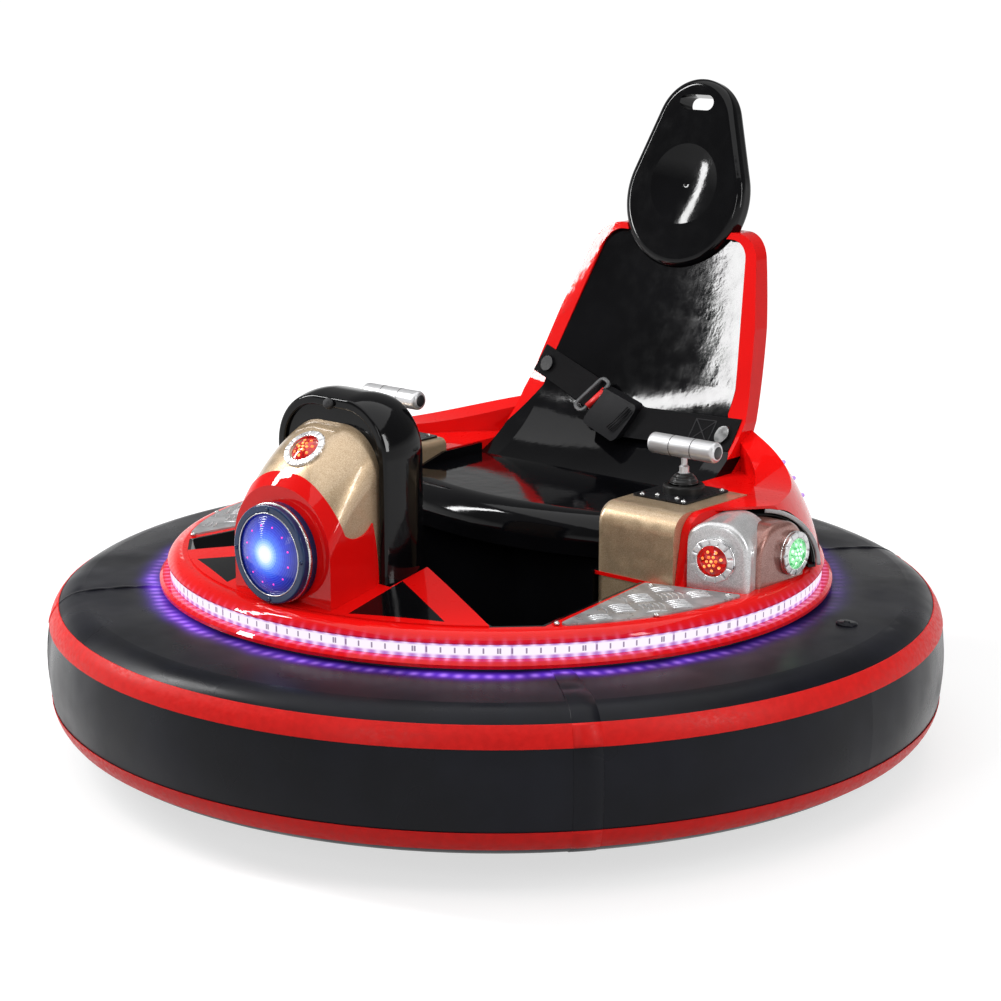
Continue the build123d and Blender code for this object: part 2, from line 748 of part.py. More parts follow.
# Lever plates and boots on the side consoles
with BuildPart() as plate:
    with BuildSketch(Plane.XY.offset(console_top)):
        with Locations((lever_x + PLATE_SHIFT[0], lever_y + PLATE_SHIFT[1])):
            RectangleRounded(PLATE_WIDTH, PLATE_LENGTH, PLATE_CORNER_R)
    extrude(amount=PLATE_THICK)
both(plate, "lever_plates")
with BuildPart() as boot:
    with BuildSketch(Plane.XY.offset(plate_top)):
        with Locations((lever_x, lever_y)):
            Circle(BOOT_R)
            Circle(BOOT_DOME_R + BOOT_DOME_GAP, mode=Mode.SUBTRACT)
    extrude(amount=BOOT_HEIGHT)
    fillet(boot.faces().sort_by(Axis.Z)[-1].outer_wire().edges(), BOOT_ROUND)
    with BuildSketch(Plane.YZ.offset(lever_x - BOOT_DOME_R - PIVOT_PIN_HOLD)):
        with Locations((lever_y, pivot_z)):
            Circle(PIVOT_PIN_R)
    extrude(amount=2 * (BOOT_DOME_R + PIVOT_PIN_HOLD))
both(boot, "lever_boots")

# Steering levers: pinned ball, domed skirt, rod and cross grip
skirt_r = (BOOT_DOME_R**2 - BOOT_DOME_LOW**2) ** 0.5
collar_r = LEVER_ROD_R + LEVER_COLLAR
collar_z = (BOOT_DOME_R**2 - collar_r**2) ** 0.5
collar_top = BOOT_DOME_R + LEVER_COLLAR_RISE
with BuildPart() as lever:
    with BuildSketch(Plane.XZ):
        with BuildLine():
            ThreePointArc(
                (skirt_r, BOOT_DOME_LOW),
                (BOOT_DOME_R * cos(radians(45)), BOOT_DOME_R * sin(radians(45))),
                (collar_r, collar_z),
            )
            Polyline(
                (collar_r, collar_z),
                (collar_r, collar_top),
                (LEVER_ROD_R, collar_top + LEVER_COLLAR),
                (LEVER_ROD_R, GRIP_RISE),
                (0, GRIP_RISE),
                (0, BOOT_DOME_LOW),
                (skirt_r, BOOT_DOME_LOW),
            )
        make_face()
    revolve(axis=Axis.Z)
    Sphere(PIVOT_BALL_R)
    with BuildSketch(Plane.YZ.offset(-PIVOT_BALL_R)):
        Circle(PIVOT_PIN_R + RUN_GAP)
    extrude(amount=2 * PIVOT_BALL_R, mode=Mode.SUBTRACT)
    with BuildSketch(Plane.YZ.offset(-GRIP_LENGTH / 2)):
        with Locations((0, GRIP_RISE)):
            Circle(GRIP_R)
    extrude(amount=GRIP_LENGTH)
    fillet(lever.faces().filter_by(Axis.X).edges(), GRIP_ROUND)
with BuildPart() as lever_left:
    add(lever.part.moved(Location((lever_x, lever_y, pivot_z))))
pair(lever_left, "steering_lever")

# Wheel arch: rounded opening in an upright wall across the fender, with the lamp pods in it and ahead of it
arch_face = facing(HOOP_R - ARCH_IN, CONSOLE_FRONT_Y + ARCH_FROM_FRONT, ARCH_TURN)


def arch_room(gap=0):
    """Room inside the arch and all room ahead of its wall, smaller by a gap."""
    with BuildPart() as room:
        with BuildSketch(arch_face.offset(gap - ARCH_DEPTH)):
            arch_outline(ARCH_HALF_WIDTH - gap, 0, ARCH_HEIGHT - gap, ARCH_CORNER_R)
        extrude(amount=ARCH_DEPTH + ARCH_LIP)
        with BuildSketch(arch_face.offset(ARCH_LIP + gap)):
            Rectangle(4 * ARCH_HALF_WIDTH, 4 * ARCH_HEIGHT)
        extrude(amount=ARCH_REACH)
    return room.part


def console_room(margin):
    """Box round both side consoles and all between them, wider by a margin."""
    with BuildPart() as room:
        with BuildSketch(Plane.XY.offset(console_bottom)):
            with Locations((0, CONSOLE_FRONT_Y - FIT_GAP)):
                Rectangle(
                    2 * (console_outer + margin),
                    CONSOLE_LENGTH + 2 * FIT_GAP,
                    align=(Align.CENTER, Align.MIN),
                )
        extrude(amount=2 * (console_top - console_bottom))
    return room.part


# Lamp pods: two rounded housings in each wheel arch
def pod_blank(face, half, height, corner, depth):
    """Arched block behind an upright face, with its front rim rounded."""
    with BuildPart() as blank:
        with BuildSketch(face):
            arch_outline(half, 0, height, corner)
        extrude(amount=-depth)
        front = blank.faces().sort_by(Axis(face.origin, face.z_dir))[-1]
        fillet(front.edges().filter_by(lambda edge: edge.center().Z > deck_top + POD_EDGE_R), POD_EDGE_R)
    return blank.part


beside_rim = console_room(FIT_GAP + RIM_WIDTH + SEAT_GAP)
front_pod_face = facing(HOOP_R - FRONT_POD_IN, FRONT_POD_Y, FRONT_POD_TURN)
side_pod_face = facing(HOOP_R + SIDE_POD_OUT, SIDE_POD_Y, SIDE_POD_TURN)
with BuildPart() as front_pod:
    add(pod_blank(front_pod_face, FRONT_POD_HALF, FRONT_POD_HEIGHT, FRONT_POD_CORNER_R, FRONT_POD_DEPTH))
    add(arch_room(SEAT_GAP), mode=Mode.INTERSECT)
    add(beside_rim, mode=Mode.SUBTRACT)
both(front_pod, "front_pods")
with BuildPart() as side_pod:
    add(pod_blank(side_pod_face, SIDE_POD_HALF, SIDE_POD_HEIGHT, SIDE_POD_CORNER_R, SIDE_POD_DEPTH))
    add(arch_room(SEAT_GAP), mode=Mode.INTERSECT)
    add(beside_rim, mode=Mode.SUBTRACT)
    add(front_pod.part, mode=Mode.SUBTRACT)
both(side_pod, "side_pods")

# Arch liners: dark bands round the inside of the arches, behind the pods
with BuildPart() as liner:
    with BuildSketch(arch_face.offset(-ARCH_DEPTH + SEAT_GAP)):
        arch_outline(ARCH_HALF_WIDTH - SEAT_GAP, 0, ARCH_HEIGHT - SEAT_GAP, ARCH_CORNER_R)
        arch_outline(
            ARCH_HALF_WIDTH - LINER_THICK,
            0,
            ARCH_HEIGHT - LINER_THICK,
            ARCH_CORNER_R - LINER_THICK,
            mode=Mode.SUBTRACT,
        )
    extrude(amount=ARCH_DEPTH * LINER_SHARE)
    add(front_pod.part, mode=Mode.SUBTRACT)
    add(side_pod.part, mode=Mode.SUBTRACT)
    add(beside_rim, mode=Mode.SUBTRACT)
both(liner, "arch_liners")

# Fenders: domed sides over the arches under a roof that sweeps up to the shell, with a tray and a front rim
fender_foot = (deck_edge_r - FENDER_FOOT_IN, deck_top)
fender_belly = (deck_edge_r - FENDER_BELLY[0], deck_top + FENDER_BELLY[1])
fender_ridge = (deck_edge_r - FENDER_RIDGE[0], deck_top + FENDER_RIDGE[1])
fender_crest = (deck_edge_r - FENDER_CREST[0], deck_top + FENDER_CREST[1])
roof_flat = deck_top + FENDER_FLAT
roof_rear = (FENDER_REAR[0], deck_top + FENDER_REAR[1])
with BuildPart() as fender:
    with BuildSketch(Plane.XZ):
        with BuildLine():
            ThreePointArc(fender_foot, fender_belly, fender_ridge)
            Polyline(
                fender_ridge,
                fender_crest,
                (seat_half, fender_crest[1]),
                (seat_half, deck_top),
                fender_foot,
            )
        make_face()
    revolve(axis=Axis.Z)
    with BuildSketch(Plane.YZ.offset(seat_half + SEAT_GAP)):
        with BuildLine():
            Line((CONSOLE_FRONT_Y, roof_flat), (FENDER_FLAT_END, roof_flat))
            TangentArc((FENDER_FLAT_END, roof_flat), roof_rear, tangent=(1, 0))
            Polyline(
                roof_rear,
                (deck_edge_r, roof_rear[1]),
                (deck_edge_r, deck_top),
                (CONSOLE_FRONT_Y, deck_top),
                (CONSOLE_FRONT_Y, roof_flat),
            )
        make_face()
    extrude(amount=deck_edge_r, mode=Mode.INTERSECT)
    with BuildSketch(Plane.XY.offset(deck_top + TRAY_RISE)):
        Circle(HOOP_R - TRAY_IN)
        with Locations((0, console_back + FIT_GAP)):
            Rectangle(2 * deck_edge_r, deck_edge_r, align=(Align.CENTER, Align.MIN), mode=Mode.INTERSECT)
    extrude(amount=FENDER_CREST[1], mode=Mode.SUBTRACT)
    add(console_room(FIT_GAP), mode=Mode.SUBTRACT)
    add(arch_room(), mode=Mode.SUBTRACT)
    with BuildSketch(Plane.YZ.offset(console_outer + FIT_GAP)) as rim_side:
        Polygon(
            (CONSOLE_FRONT_Y + RIM_FOOT, deck_top),
            (arch_face.origin.Y, deck_top),
            (arch_face.origin.Y, roof_flat),
            (CONSOLE_FRONT_Y + RIM_SHOULDER, roof_flat),
            align=None,
        )
        fillet(rim_side.vertices().group_by(Axis.Y)[-1].sort_by(Axis.X)[0], RIM_R)
    extrude(amount=RIM_WIDTH)
both(fender, "fenders")

# Step plates: three-cornered treads beside the foot well
step_r = deck_round_r - STEP_IN
with BuildPart() as step:
    with BuildSketch(Plane.XY.offset(deck_top)) as step_plan:
        Polygon(
            polar(step_r + STEP_FRONT_OUT, TUB_SIDE_TURN),
            (console_inner + TUB_SIDE_DECK + STEP_TUB_GAP, STEP_BACK_Y),
            (HOOP_R + STEP_CORNER_OUT, STEP_CORNER_Y),
            (2 * HOOP_R, STEP_CORNER_Y),
            (2 * HOOP_R, -step_r),
            align=None,
        )
        Circle(step_r, mode=Mode.INTERSECT)
        fillet(step_plan.vertices(), STEP_ROUND)
    extrude(amount=STEP_THICK)
both(step, "step_plates")

# Lamps: fluted round bezels and domed lenses on the nose and on the pods
(lamp_y0, _, lamp_z0, _), (lamp_y1, _, lamp_z1, _) = NOSE_SECTIONS[:2]
nose_rise = (lamp_z1 - lamp_z0) / (lamp_y1 - lamp_y0)
nose_lamp = Plane(
    origin=(0, nose_front + NOSE_LAMP_FROM_FRONT, deck_top + lamp_z0 + NOSE_LAMP_FROM_FRONT * nose_rise),
    x_dir=(1, 0, 0),
    z_dir=(0, -nose_rise, 1),
)
front_lamp = Plane(front_pod_face.location * Location((*FRONT_POD_LAMP, 0)))
side_lamp = Plane(side_pod_face.location * Location((*SIDE_POD_LAMP, 0)))


def fluted_ring(face, sink=0):
    """Round bezel on a face, sunk by a depth, with flutes cut across its front rim."""
    with BuildPart() as ring:
        with BuildSketch(face.offset(-sink)):
            Circle(LAMP_R)
            Circle(LAMP_R - LAMP_RIM, mode=Mode.SUBTRACT)
        extrude(amount=LAMP_HEIGHT + sink)
        with BuildSketch(face.offset(LAMP_HEIGHT - LAMP_FLUTE_R / 2)):
            with PolarLocations(LAMP_R, LAMP_FLUTES):
                Circle(LAMP_FLUTE_R)
        extrude(amount=LAMP_FLUTE_R, mode=Mode.SUBTRACT)
    return ring.part


with BuildPart() as bezels:
    add(fluted_ring(front_lamp))
    add(fluted_ring(side_lamp))
    mirror(about=Plane.YZ)
    add(fluted_ring(nose_lamp, 2 * LAMP_HEIGHT))
    add(console.part, mode=Mode.SUBTRACT)
    add(cowl.part, mode=Mode.SUBTRACT)
save(bezels, "lamp_bezels")
dome_r = LAMP_R - LAMP_RIM - SEAT_GAP
dome_edge = LAMP_HEIGHT - LAMP_SINK
with BuildPart() as dome:
    with BuildSketch(Plane.XZ):
        with BuildLine():
            Polyline((0, dome_edge + LAMP_DOME), (0, 0), (dome_r, 0), (dome_r, dome_edge))
            TangentArc((0, dome_edge + LAMP_DOME), (dome_r, dome_edge), tangent=(1, 0))
        make_face()
    revolve(axis=Axis.Z)
with BuildPart() as red_lenses:
    add(dome.part.moved(front_lamp.location))
    mirror(about=Plane.YZ)
    add(dome.part.moved(nose_lamp.location))
    add(console.part, mode=Mode.SUBTRACT)
save(red_lenses, "lamp_lenses_red")
with BuildPart() as green_lenses:
    add(dome.part.moved(side_lamp.location))
    mirror(about=Plane.YZ)
save(green_lenses, "lamp_lenses_green")

# Seat pan: hollow bucket over the batteries, with a bowed round front lip and low side walls
with BuildPart() as seat:
    with BuildSketch(Plane.XY.offset(pan_top)):
        with Locations((0, SEAT_FRONT_Y)):
            Rectangle(2 * seat_half, seat_back_y - SEAT_FRONT_Y, align=(Align.CENTER, Align.MIN))
    extrude(amount=seat_top - pan_top)
    with BuildSketch(Plane.XY.offset(deck_top + SEAT_BOW_OVER)):
        with BuildLine():
            ThreePointArc(
                (-seat_half, SEAT_FRONT_Y),
                (0, SEAT_FRONT_Y - SEAT_BOW),
                (seat_half, SEAT_FRONT_Y),
            )
            Line((seat_half, SEAT_FRONT_Y), (-seat_half, SEAT_FRONT_Y))
        make_face()
    extrude(amount=seat_top - deck_top - SEAT_BOW_OVER)
    fillet(seat.edges().group_by(Axis.Z)[-1].sort_by(Axis.Y)[0], SEAT_LIP_R)
    for x in (-seat_half, seat_half - SEAT_WALL):
        with BuildSketch(Plane.YZ.offset(x)):
            Polygon(
                (SEAT_FRONT_Y + SEAT_SIDE_FROM, seat_top - SEAT_WALL),
                (seat_back_y, seat_top - SEAT_WALL),
                (seat_back_y, seat_top + SEAT_SIDE_RISE),
                (SEAT_FRONT_Y + SEAT_SIDE_FROM + SEAT_SIDE_SLOPE, seat_top + SEAT_SIDE_RISE),
                (SEAT_FRONT_Y + SEAT_SIDE_FROM, seat_top),
                align=None,
            )
        extrude(amount=SEAT_WALL)
    for front, roof in ((SEAT_WALL, SEAT_LIP_R), (SEAT_LIP_R, SEAT_WALL)):
        with BuildSketch(Plane.XY.offset(pan_top)):
            with Locations((0, SEAT_FRONT_Y + front)):
                Rectangle(2 * (seat_half - SEAT_WALL), seat_back_y, align=(Align.CENTER, Align.MIN))
        extrude(amount=seat_top - pan_top - roof, mode=Mode.SUBTRACT)
save(seat, "seat_pan")


# Seat back: dark liner that rises from the pan in one curve, dished across
def behind_back(shift, drop=0):
    """Everything behind the front face of the seat back, moved back by a shift and down by a drop."""
    low, knee, top = [(y + shift, z - drop) for y, z in (back_low, back_knee, back_top)]
    rise = (top[0] - knee[0]) / (top[1] - knee[1])
    high = (top[0] + HEADREST_HEIGHT * rise, top[1] + HEADREST_HEIGHT)
    with BuildPart() as slab:
        with BuildSketch(Plane.YZ):
            with BuildLine():
                Line(high, knee)
                TangentArc(knee, low, tangent=(knee[0] - high[0], knee[1] - high[1]))
                Polyline(low, (low[0], deck_top), (2 * HOOP_R, deck_top), (2 * HOOP_R, high[1]), high)
            make_face()
        extrude(amount=HOOP_R, both=True)
    return slab.part


def front_view(points, corner):
    """Upright prism with the outline given by half widths and heights, its upper corners rounded."""
    with BuildPart() as prism:
        with BuildSketch(Plane.XZ) as outline:
            Polygon(*both_sides(points), align=None)
            fillet(outline.vertices().group_by(Axis.Y)[-1], corner)
        extrude(amount=-2 * HOOP_R)
    return prism.part


# Headrest: leaning paddle with a hand slot and a shallow dish
headrest_plane = Plane(
    origin=(0, back_top[0] + HEADREST_FOOT[0], back_top[1] + HEADREST_FOOT[1]),
    x_dir=(1, 0, 0),
    z_dir=(0, -cos(radians(HEADREST_LEAN)), sin(radians(HEADREST_LEAN))),
)


def headrest_blank(grow=0, front=0):
    """Paddle of two round ends joined by their tangents, grown all round and carried forward."""
    with BuildPart() as blank:
        with BuildSketch(headrest_plane.offset(front)):
            with Locations((0, HEADREST_LOW_R)):
                Circle(HEADREST_LOW_R + grow)
            with Locations((0, HEADREST_HEIGHT - HEADREST_TOP_R)):
                Circle(HEADREST_TOP_R + grow)
            make_hull()
        extrude(amount=-HEADREST_THICK - grow - front)
    return blank.part


dish_ball = (DISH_R**2 + DISH_DEPTH**2) / (2 * DISH_DEPTH)
with BuildPart() as headrest:
    add(headrest_blank())
    across = Axis(headrest_plane.origin, headrest_plane.z_dir)
    fillet(headrest.faces().sort_by(across)[-1].edges(), HEADREST_EDGE_R)
    fillet(headrest.faces().sort_by(across)[0].edges(), HEADREST_EDGE_R)
    with BuildSketch(headrest_plane):
        with Locations((0, HEADREST_HEIGHT - SLOT_FROM_TOP)):
            SlotOverall(SLOT_LENGTH, SLOT_HEIGHT)
    extrude(amount=-HEADREST_THICK, mode=Mode.SUBTRACT)
    with Locations(headrest_plane.location * Location((0, DISH_FROM_FOOT, dish_ball - DISH_DEPTH))):
        Sphere(dish_ball, mode=Mode.SUBTRACT)
save(headrest, "headrest")
headrest_room = headrest_blank(SEAT_GAP, HEADREST_LEAD)

back_points = [
    (seat_half - SEAT_GAP, back_low[1] - BACK_THICK),
    (seat_half - SEAT_GAP, seat_top + BACK_FOOT_RISE),
    (seat_half - BACK_LOW_IN, seat_top + BACK_WAIST_RISE),
    (seat_half - BACK_LOW_IN, back_knee[1]),
    (seat_half - BACK_TOP_IN, back_top[1] - SHELL_RIM_R),
]
with BuildPart() as scoop:
    with BuildLine(Plane.YZ) as scoop_path:
        Line(back_top, back_knee)
        TangentArc(back_knee, back_low, tangent=(back_knee[0] - back_top[0], back_knee[1] - back_top[1]))
    lean = Vector(0, back_knee[0] - back_top[0], back_knee[1] - back_top[1])
    with BuildSketch(Plane(origin=(0, *back_top), x_dir=(1, 0, 0), z_dir=lean)):
        with BuildLine():
            half = seat_half - BACK_LOW_IN
            ThreePointArc((-half, 0), (0, -BACK_DISH), (half, 0))
            Polyline((half, 0), (half, BACK_THICK), (-half, BACK_THICK), (-half, 0))
        make_face()
    sweep(path=scoop_path.wires()[0])
with BuildPart() as seat_back:
    add(behind_back(0))
    add(behind_back(BACK_THICK, BACK_THICK), mode=Mode.SUBTRACT)
    add(front_view(back_points, BACK_TOP_CORNER_R), mode=Mode.INTERSECT)
    add(headrest_room, mode=Mode.SUBTRACT)
    add(scoop.part, mode=Mode.SUBTRACT)
save(seat_back, "seat_back")

# Seat shell: rear body that carries the liner and the headrest
shell_points = [
    (seat_half, deck_top),
    (seat_half, seat_top + SHELL_LOW_RISE),
    (seat_half - SHELL_WAIST[0], seat_top + SHELL_WAIST[1]),
    (seat_half - SHELL_TOP[0], seat_top + SHELL_TOP[1]),
]
with BuildPart() as recess:
    add(behind_back(-BACK_THICK))
    add(behind_back(BACK_THICK + SEAT_GAP, BACK_THICK + SEAT_GAP), mode=Mode.SUBTRACT)
    recess_points = [(seat_half, back_low[1] - BACK_THICK - SEAT_GAP)] + back_points[1:]
    recess_points = [(x + 2 * SEAT_GAP, z) for x, z in recess_points]
    add(front_view(recess_points, BACK_TOP_CORNER_R), mode=Mode.INTERSECT)
with BuildPart() as seat_shell:
    with BuildSketch(Plane.XZ):
        with BuildLine():
            rear_mid = (deck_edge_r - SHELL_REAR_MID[0], seat_top + SHELL_REAR_MID[1])
            rear_top = (deck_edge_r - SHELL_REAR_TOP[0], seat_top + SHELL_REAR_TOP[1])
            ThreePointArc(fender_foot, fender_belly, fender_ridge)
            ThreePointArc(fender_ridge, rear_mid, rear_top)
            Polyline(rear_top, (0, rear_top[1]), (0, deck_top), fender_foot)
        make_face()
    revolve(axis=Axis.Z)
    add(front_view(shell_points, SHELL_CORNER_R), mode=Mode.INTERSECT)
    add(behind_back(0), mode=Mode.INTERSECT)
    add(recess.part, mode=Mode.SUBTRACT)
    add(headrest_room, mode=Mode.SUBTRACT)
save(seat_shell, "seat_shell")


def on_back(near, far):
    """Layer in front of the seat back, between two distances from it."""
    with BuildPart() as layer:
        add(behind_back(-far))
        add(behind_back(-near), mode=Mode.SUBTRACT)
    return layer.part


def ribbon(ends, width):
    """Straight strip between two points of the front view, carried through in depth."""
    (x0, z0), (x1, z1) = ends
    run = hypot(x1 - x0, z1 - z0)
    nx, nz = -(z1 - z0) / run * width / 2, (x1 - x0) / run * width / 2
    with BuildPart() as prism:
        with BuildSketch(Plane.XZ):
            Polygon(
                (x0 + nx, z0 + nz),
                (x1 + nx, z1 + nz),
                (x1 - nx, z1 - nz),
                (x0 - nx, z0 - nz),
                align=None,
            )
        extrude(amount=-2 * HOOP_R)
    return prism.part


# Lap belt: two webbing straps across the seat back, each from an anchor to its free end
belt_left = (
    (seat_half - BELT_LEFT_IN, seat_top + BELT_LEFT_RISE),
    (BELT_LEFT_END[0], seat_top + BELT_LEFT_END[1]),
)
belt_right = (
    (BELT_RIGHT_IN - seat_half, seat_top + BELT_RIGHT_RISE),
    (BELT_RIGHT_END[0], seat_top + BELT_RIGHT_END[1]),
)
with BuildPart() as belt:
    add(ribbon(belt_left, BELT_WIDTH))
    add(ribbon(belt_right, BELT_WIDTH))
    add(on_back(BELT_GAP, BELT_GAP + BELT_THICK), mode=Mode.INTERSECT)
save(belt, "lap_belt")

# Belt buckle: block over the meeting ends of the straps
with BuildPart() as buckle:
    with BuildSketch(Plane.XZ):
        with Locations((BUCKLE_MID[0], seat_top + BUCKLE_MID[1])):
            RectangleRounded(BUCKLE_LENGTH, BUCKLE_WIDTH, BUCKLE_CORNER_R, rotation=BUCKLE_TURN)
    extrude(amount=-2 * HOOP_R)
    add(on_back(BELT_GAP, BUCKLE_THICK), mode=Mode.INTERSECT)
    add(belt.part, mode=Mode.SUBTRACT)
save(buckle, "belt_buckle")

# Belt bolts: round heads over the anchor ends
with BuildPart() as bolts:
    with BuildSketch(Plane.XZ):
        for (ax, az), (bx, bz) in (belt_left, belt_right):
            share = BELT_WIDTH / 2 / hypot(bx - ax, bz - az)
            with Locations((ax + (bx - ax) * share, az + (bz - az) * share)):
                Circle(BOLT_R)
    extrude(amount=-2 * HOOP_R)
    add(on_back(BELT_GAP + BELT_THICK, BELT_GAP + BELT_THICK + BOLT_HEIGHT), mode=Mode.INTERSECT)
save(bolts, "belt_bolts")

# Battery pack: one plain block under the seat
with BuildPart() as battery:
    with BuildSketch(Plane.XY.offset(pan_top)):
        with Locations((0, (SEAT_FRONT_Y + seat_back_y) / 2 + BATTERY_END_ROOM)):
            Rectangle(2 * (seat_half - BATTERY_SIDE_ROOM), seat_back_y - SEAT_FRONT_Y - 2 * BATTERY_END_ROOM)
    extrude(amount=deck_top - DECK_THICK - BATTERY_HEAD_ROOM - pan_top)
save(battery, "battery_pack")

# Drive motors: gearboxes hung under the pan with the motors inboard
gearbox_x = wheel_x - GEARBOX_FROM_WHEEL
gear_face = gearbox_x + GEARBOX_WIDTH / 2
with BuildPart() as motor:
    with BuildSketch(Plane.XY.offset(pan_bottom)):
        with Locations((gearbox_x, WHEEL_Y)):
            Rectangle(GEARBOX_WIDTH, GEARBOX_LENGTH)
    extrude(amount=-2 * PAN_OVER_AXLE)
    with BuildSketch(Plane.YZ.offset(gearbox_x)):
        with Locations((WHEEL_Y, WHEEL_R)):
            Circle(MOTOR_R)
    extrude(amount=-MOTOR_LENGTH - GEARBOX_WIDTH / 2)
    with BuildSketch(Plane.YZ.offset(gear_face)):
        with Locations((WHEEL_Y, WHEEL_R)):
            Circle(AXLE_R + RUN_GAP)
    extrude(amount=-AXLE_IN - AXLE_END_GAP, mode=Mode.SUBTRACT)
both(motor, "drive_motors")

# Drive wheels: webbed rim with its axle, and a solid tyre
wheel_axis = Axis((0, WHEEL_Y, WHEEL_R), (1, 0, 0))
wheel_plane = Plane(origin=(wheel_x, WHEEL_Y, WHEEL_R))
half_wide = WHEEL_WIDTH / 2
rim_r = WHEEL_R - TYRE_DEPTH - SEAT_GAP
axle_end = gear_face - AXLE_IN - wheel_x
with BuildPart() as hub:
    with BuildSketch(wheel_plane):
        Polygon(
            (axle_end, 0),
            (axle_end, AXLE_R),
            (-half_wide, AXLE_R),
            (-half_wide, HUB_BOSS_R),
            (-HUB_WEB / 2, HUB_BOSS_R),
            (-HUB_WEB / 2, rim_r - HUB_RIM),
            (HUB_RIM_IN - half_wide, rim_r - HUB_RIM),
            (HUB_RIM_IN - half_wide, rim_r),
            (half_wide - HUB_RIM_IN, rim_r),
            (half_wide - HUB_RIM_IN, rim_r - HUB_RIM),
            (HUB_WEB / 2, rim_r - HUB_RIM),
            (HUB_WEB / 2, HUB_BOSS_R),
            (half_wide, HUB_BOSS_R),
            (half_wide, 0),
            align=None,
        )
    revolve(axis=wheel_axis)
pair(hub, "drive_hub")
with BuildPart() as tyre:
    with BuildSketch(wheel_plane) as tyre_section:
        with Locations((0, WHEEL_R)):
            Rectangle(WHEEL_WIDTH, TYRE_DEPTH, align=(Align.CENTER, Align.MAX))
        chamfer(tyre_section.vertices().group_by(Axis.Y)[-1], TYRE_BEVEL)
    revolve(axis=wheel_axis)
pair(tyre, "drive_tyre")

# Casters: plates with kingpins under the pan, swivelling forks and rolling wheels
race_top = pan_bottom - CASTER_PLATE_THICK
race_low = race_top - CASTER_RACE
fork_top = race_low - CASTER_GAP
fork_low = fork_top - FORK_TOP_HEIGHT
with BuildPart() as plates:
    for y in (-caster_y, caster_y):
        with BuildSketch(Plane.XY.offset(pan_bottom)):
            with Locations((0, y)):
                RectangleRounded(CASTER_PLATE_LENGTH, CASTER_PLATE_WIDTH, CASTER_PLATE_CORNER_R)
        extrude(amount=-CASTER_PLATE_THICK)
        for z, radius, depth in (
            (race_top, CASTER_RACE_R, CASTER_RACE),
            (race_low, KINGPIN_R, FORK_TOP_HEIGHT + 2 * CASTER_GAP),
            (fork_low - CASTER_GAP, KINGPIN_R + KINGPIN_HEAD, KINGPIN_HEAD_HEIGHT),
        ):
            with BuildSketch(Plane.XY.offset(z)):
                with Locations((0, y)):
                    Circle(radius)
            extrude(amount=-depth)
save(plates, "caster_plates")
leg_in = CASTER_WHEEL_WIDTH / 2 + FORK_SIDE_GAP
pin_half = leg_in + FORK_LEG + PIN_END
for end, y in (("front", -caster_y), ("rear", caster_y)):
    axle_y = y + CASTER_TRAIL
    with BuildPart() as fork:
        with BuildSketch(Plane.XY.offset(fork_top)):
            with Locations((0, y)):
                Circle(FORK_TOP_R)
        extrude(amount=-FORK_TOP_HEIGHT)
        for x in (leg_in, -leg_in - FORK_LEG):
            with BuildSketch(Plane.YZ.offset(x)):
                with Locations((y, (fork_top + fork_low) / 2)):
                    Rectangle(FORK_ARM, FORK_TOP_HEIGHT)
                with Locations((axle_y, caster_r)):
                    Circle(FORK_EYE_R)
                make_hull()
            extrude(amount=FORK_LEG)
        with BuildSketch(Plane.YZ.offset(-pin_half)):
            with Locations((axle_y, caster_r)):
                Circle(PIN_R)
        extrude(amount=2 * pin_half)
        with BuildSketch(Plane.XY.offset(fork_top)):
            with Locations((0, y)):
                Circle(KINGPIN_R + RUN_GAP)
        extrude(amount=-FORK_TOP_HEIGHT, mode=Mode.SUBTRACT)
    save(fork, f"caster_fork_{end}")
    with BuildPart() as roller:
        with BuildSketch(Plane.YZ.offset(-CASTER_WHEEL_WIDTH / 2)):
            with Locations((axle_y, caster_r)):
                Circle(caster_r)
                Circle(PIN_R + RUN_GAP, mode=Mode.SUBTRACT)
        extrude(amount=CASTER_WHEEL_WIDTH)
        chamfer(roller.edges().filter_by(GeomType.CIRCLE).group_by(SortBy.RADIUS)[-1], CASTER_WHEEL_BEVEL)
    save(roller, f"caster_wheel_{end}")
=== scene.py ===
"""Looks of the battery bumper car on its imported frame.

Metres. The front faces -Y, the rider's left is +X and +Z is up, as in the frame.
"""

import json
import math
from functools import partialmethod

import bmesh
import bpy
import numpy as np
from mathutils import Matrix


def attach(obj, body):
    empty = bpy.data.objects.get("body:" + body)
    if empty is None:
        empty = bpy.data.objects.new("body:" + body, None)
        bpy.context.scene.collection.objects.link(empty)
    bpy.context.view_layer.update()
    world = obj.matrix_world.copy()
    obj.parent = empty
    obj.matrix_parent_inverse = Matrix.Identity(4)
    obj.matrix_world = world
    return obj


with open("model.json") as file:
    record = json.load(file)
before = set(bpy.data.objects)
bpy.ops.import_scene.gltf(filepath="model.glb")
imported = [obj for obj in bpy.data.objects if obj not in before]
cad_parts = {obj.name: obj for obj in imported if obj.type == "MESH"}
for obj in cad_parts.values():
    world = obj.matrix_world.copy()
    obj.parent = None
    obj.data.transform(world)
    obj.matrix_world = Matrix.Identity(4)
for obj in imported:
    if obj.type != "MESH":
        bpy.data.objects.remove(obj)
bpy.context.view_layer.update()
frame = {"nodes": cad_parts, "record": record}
nodes = frame["nodes"]

MM = 0.001
BODY = "car_body"
TAU = 2 * math.pi
UP = (0.0, 0.0, 1.0)
BACKWARD = (0.0, 1.0, 0.0)
FORWARD = (0.0, -1.0, 0.0)
LEFTWARD = (1.0, 0.0, 0.0)
MIRROR = (-1, 1, 1)  # carries the rider's left side to the right
HANDS = (("left", 1), ("right", -1))
UPRIGHT = np.eye(3)[None]  # one frame that turns nothing
BLACK = (0.0, 0.0, 0.0)
WHITE = (1.0, 1.0, 1.0)

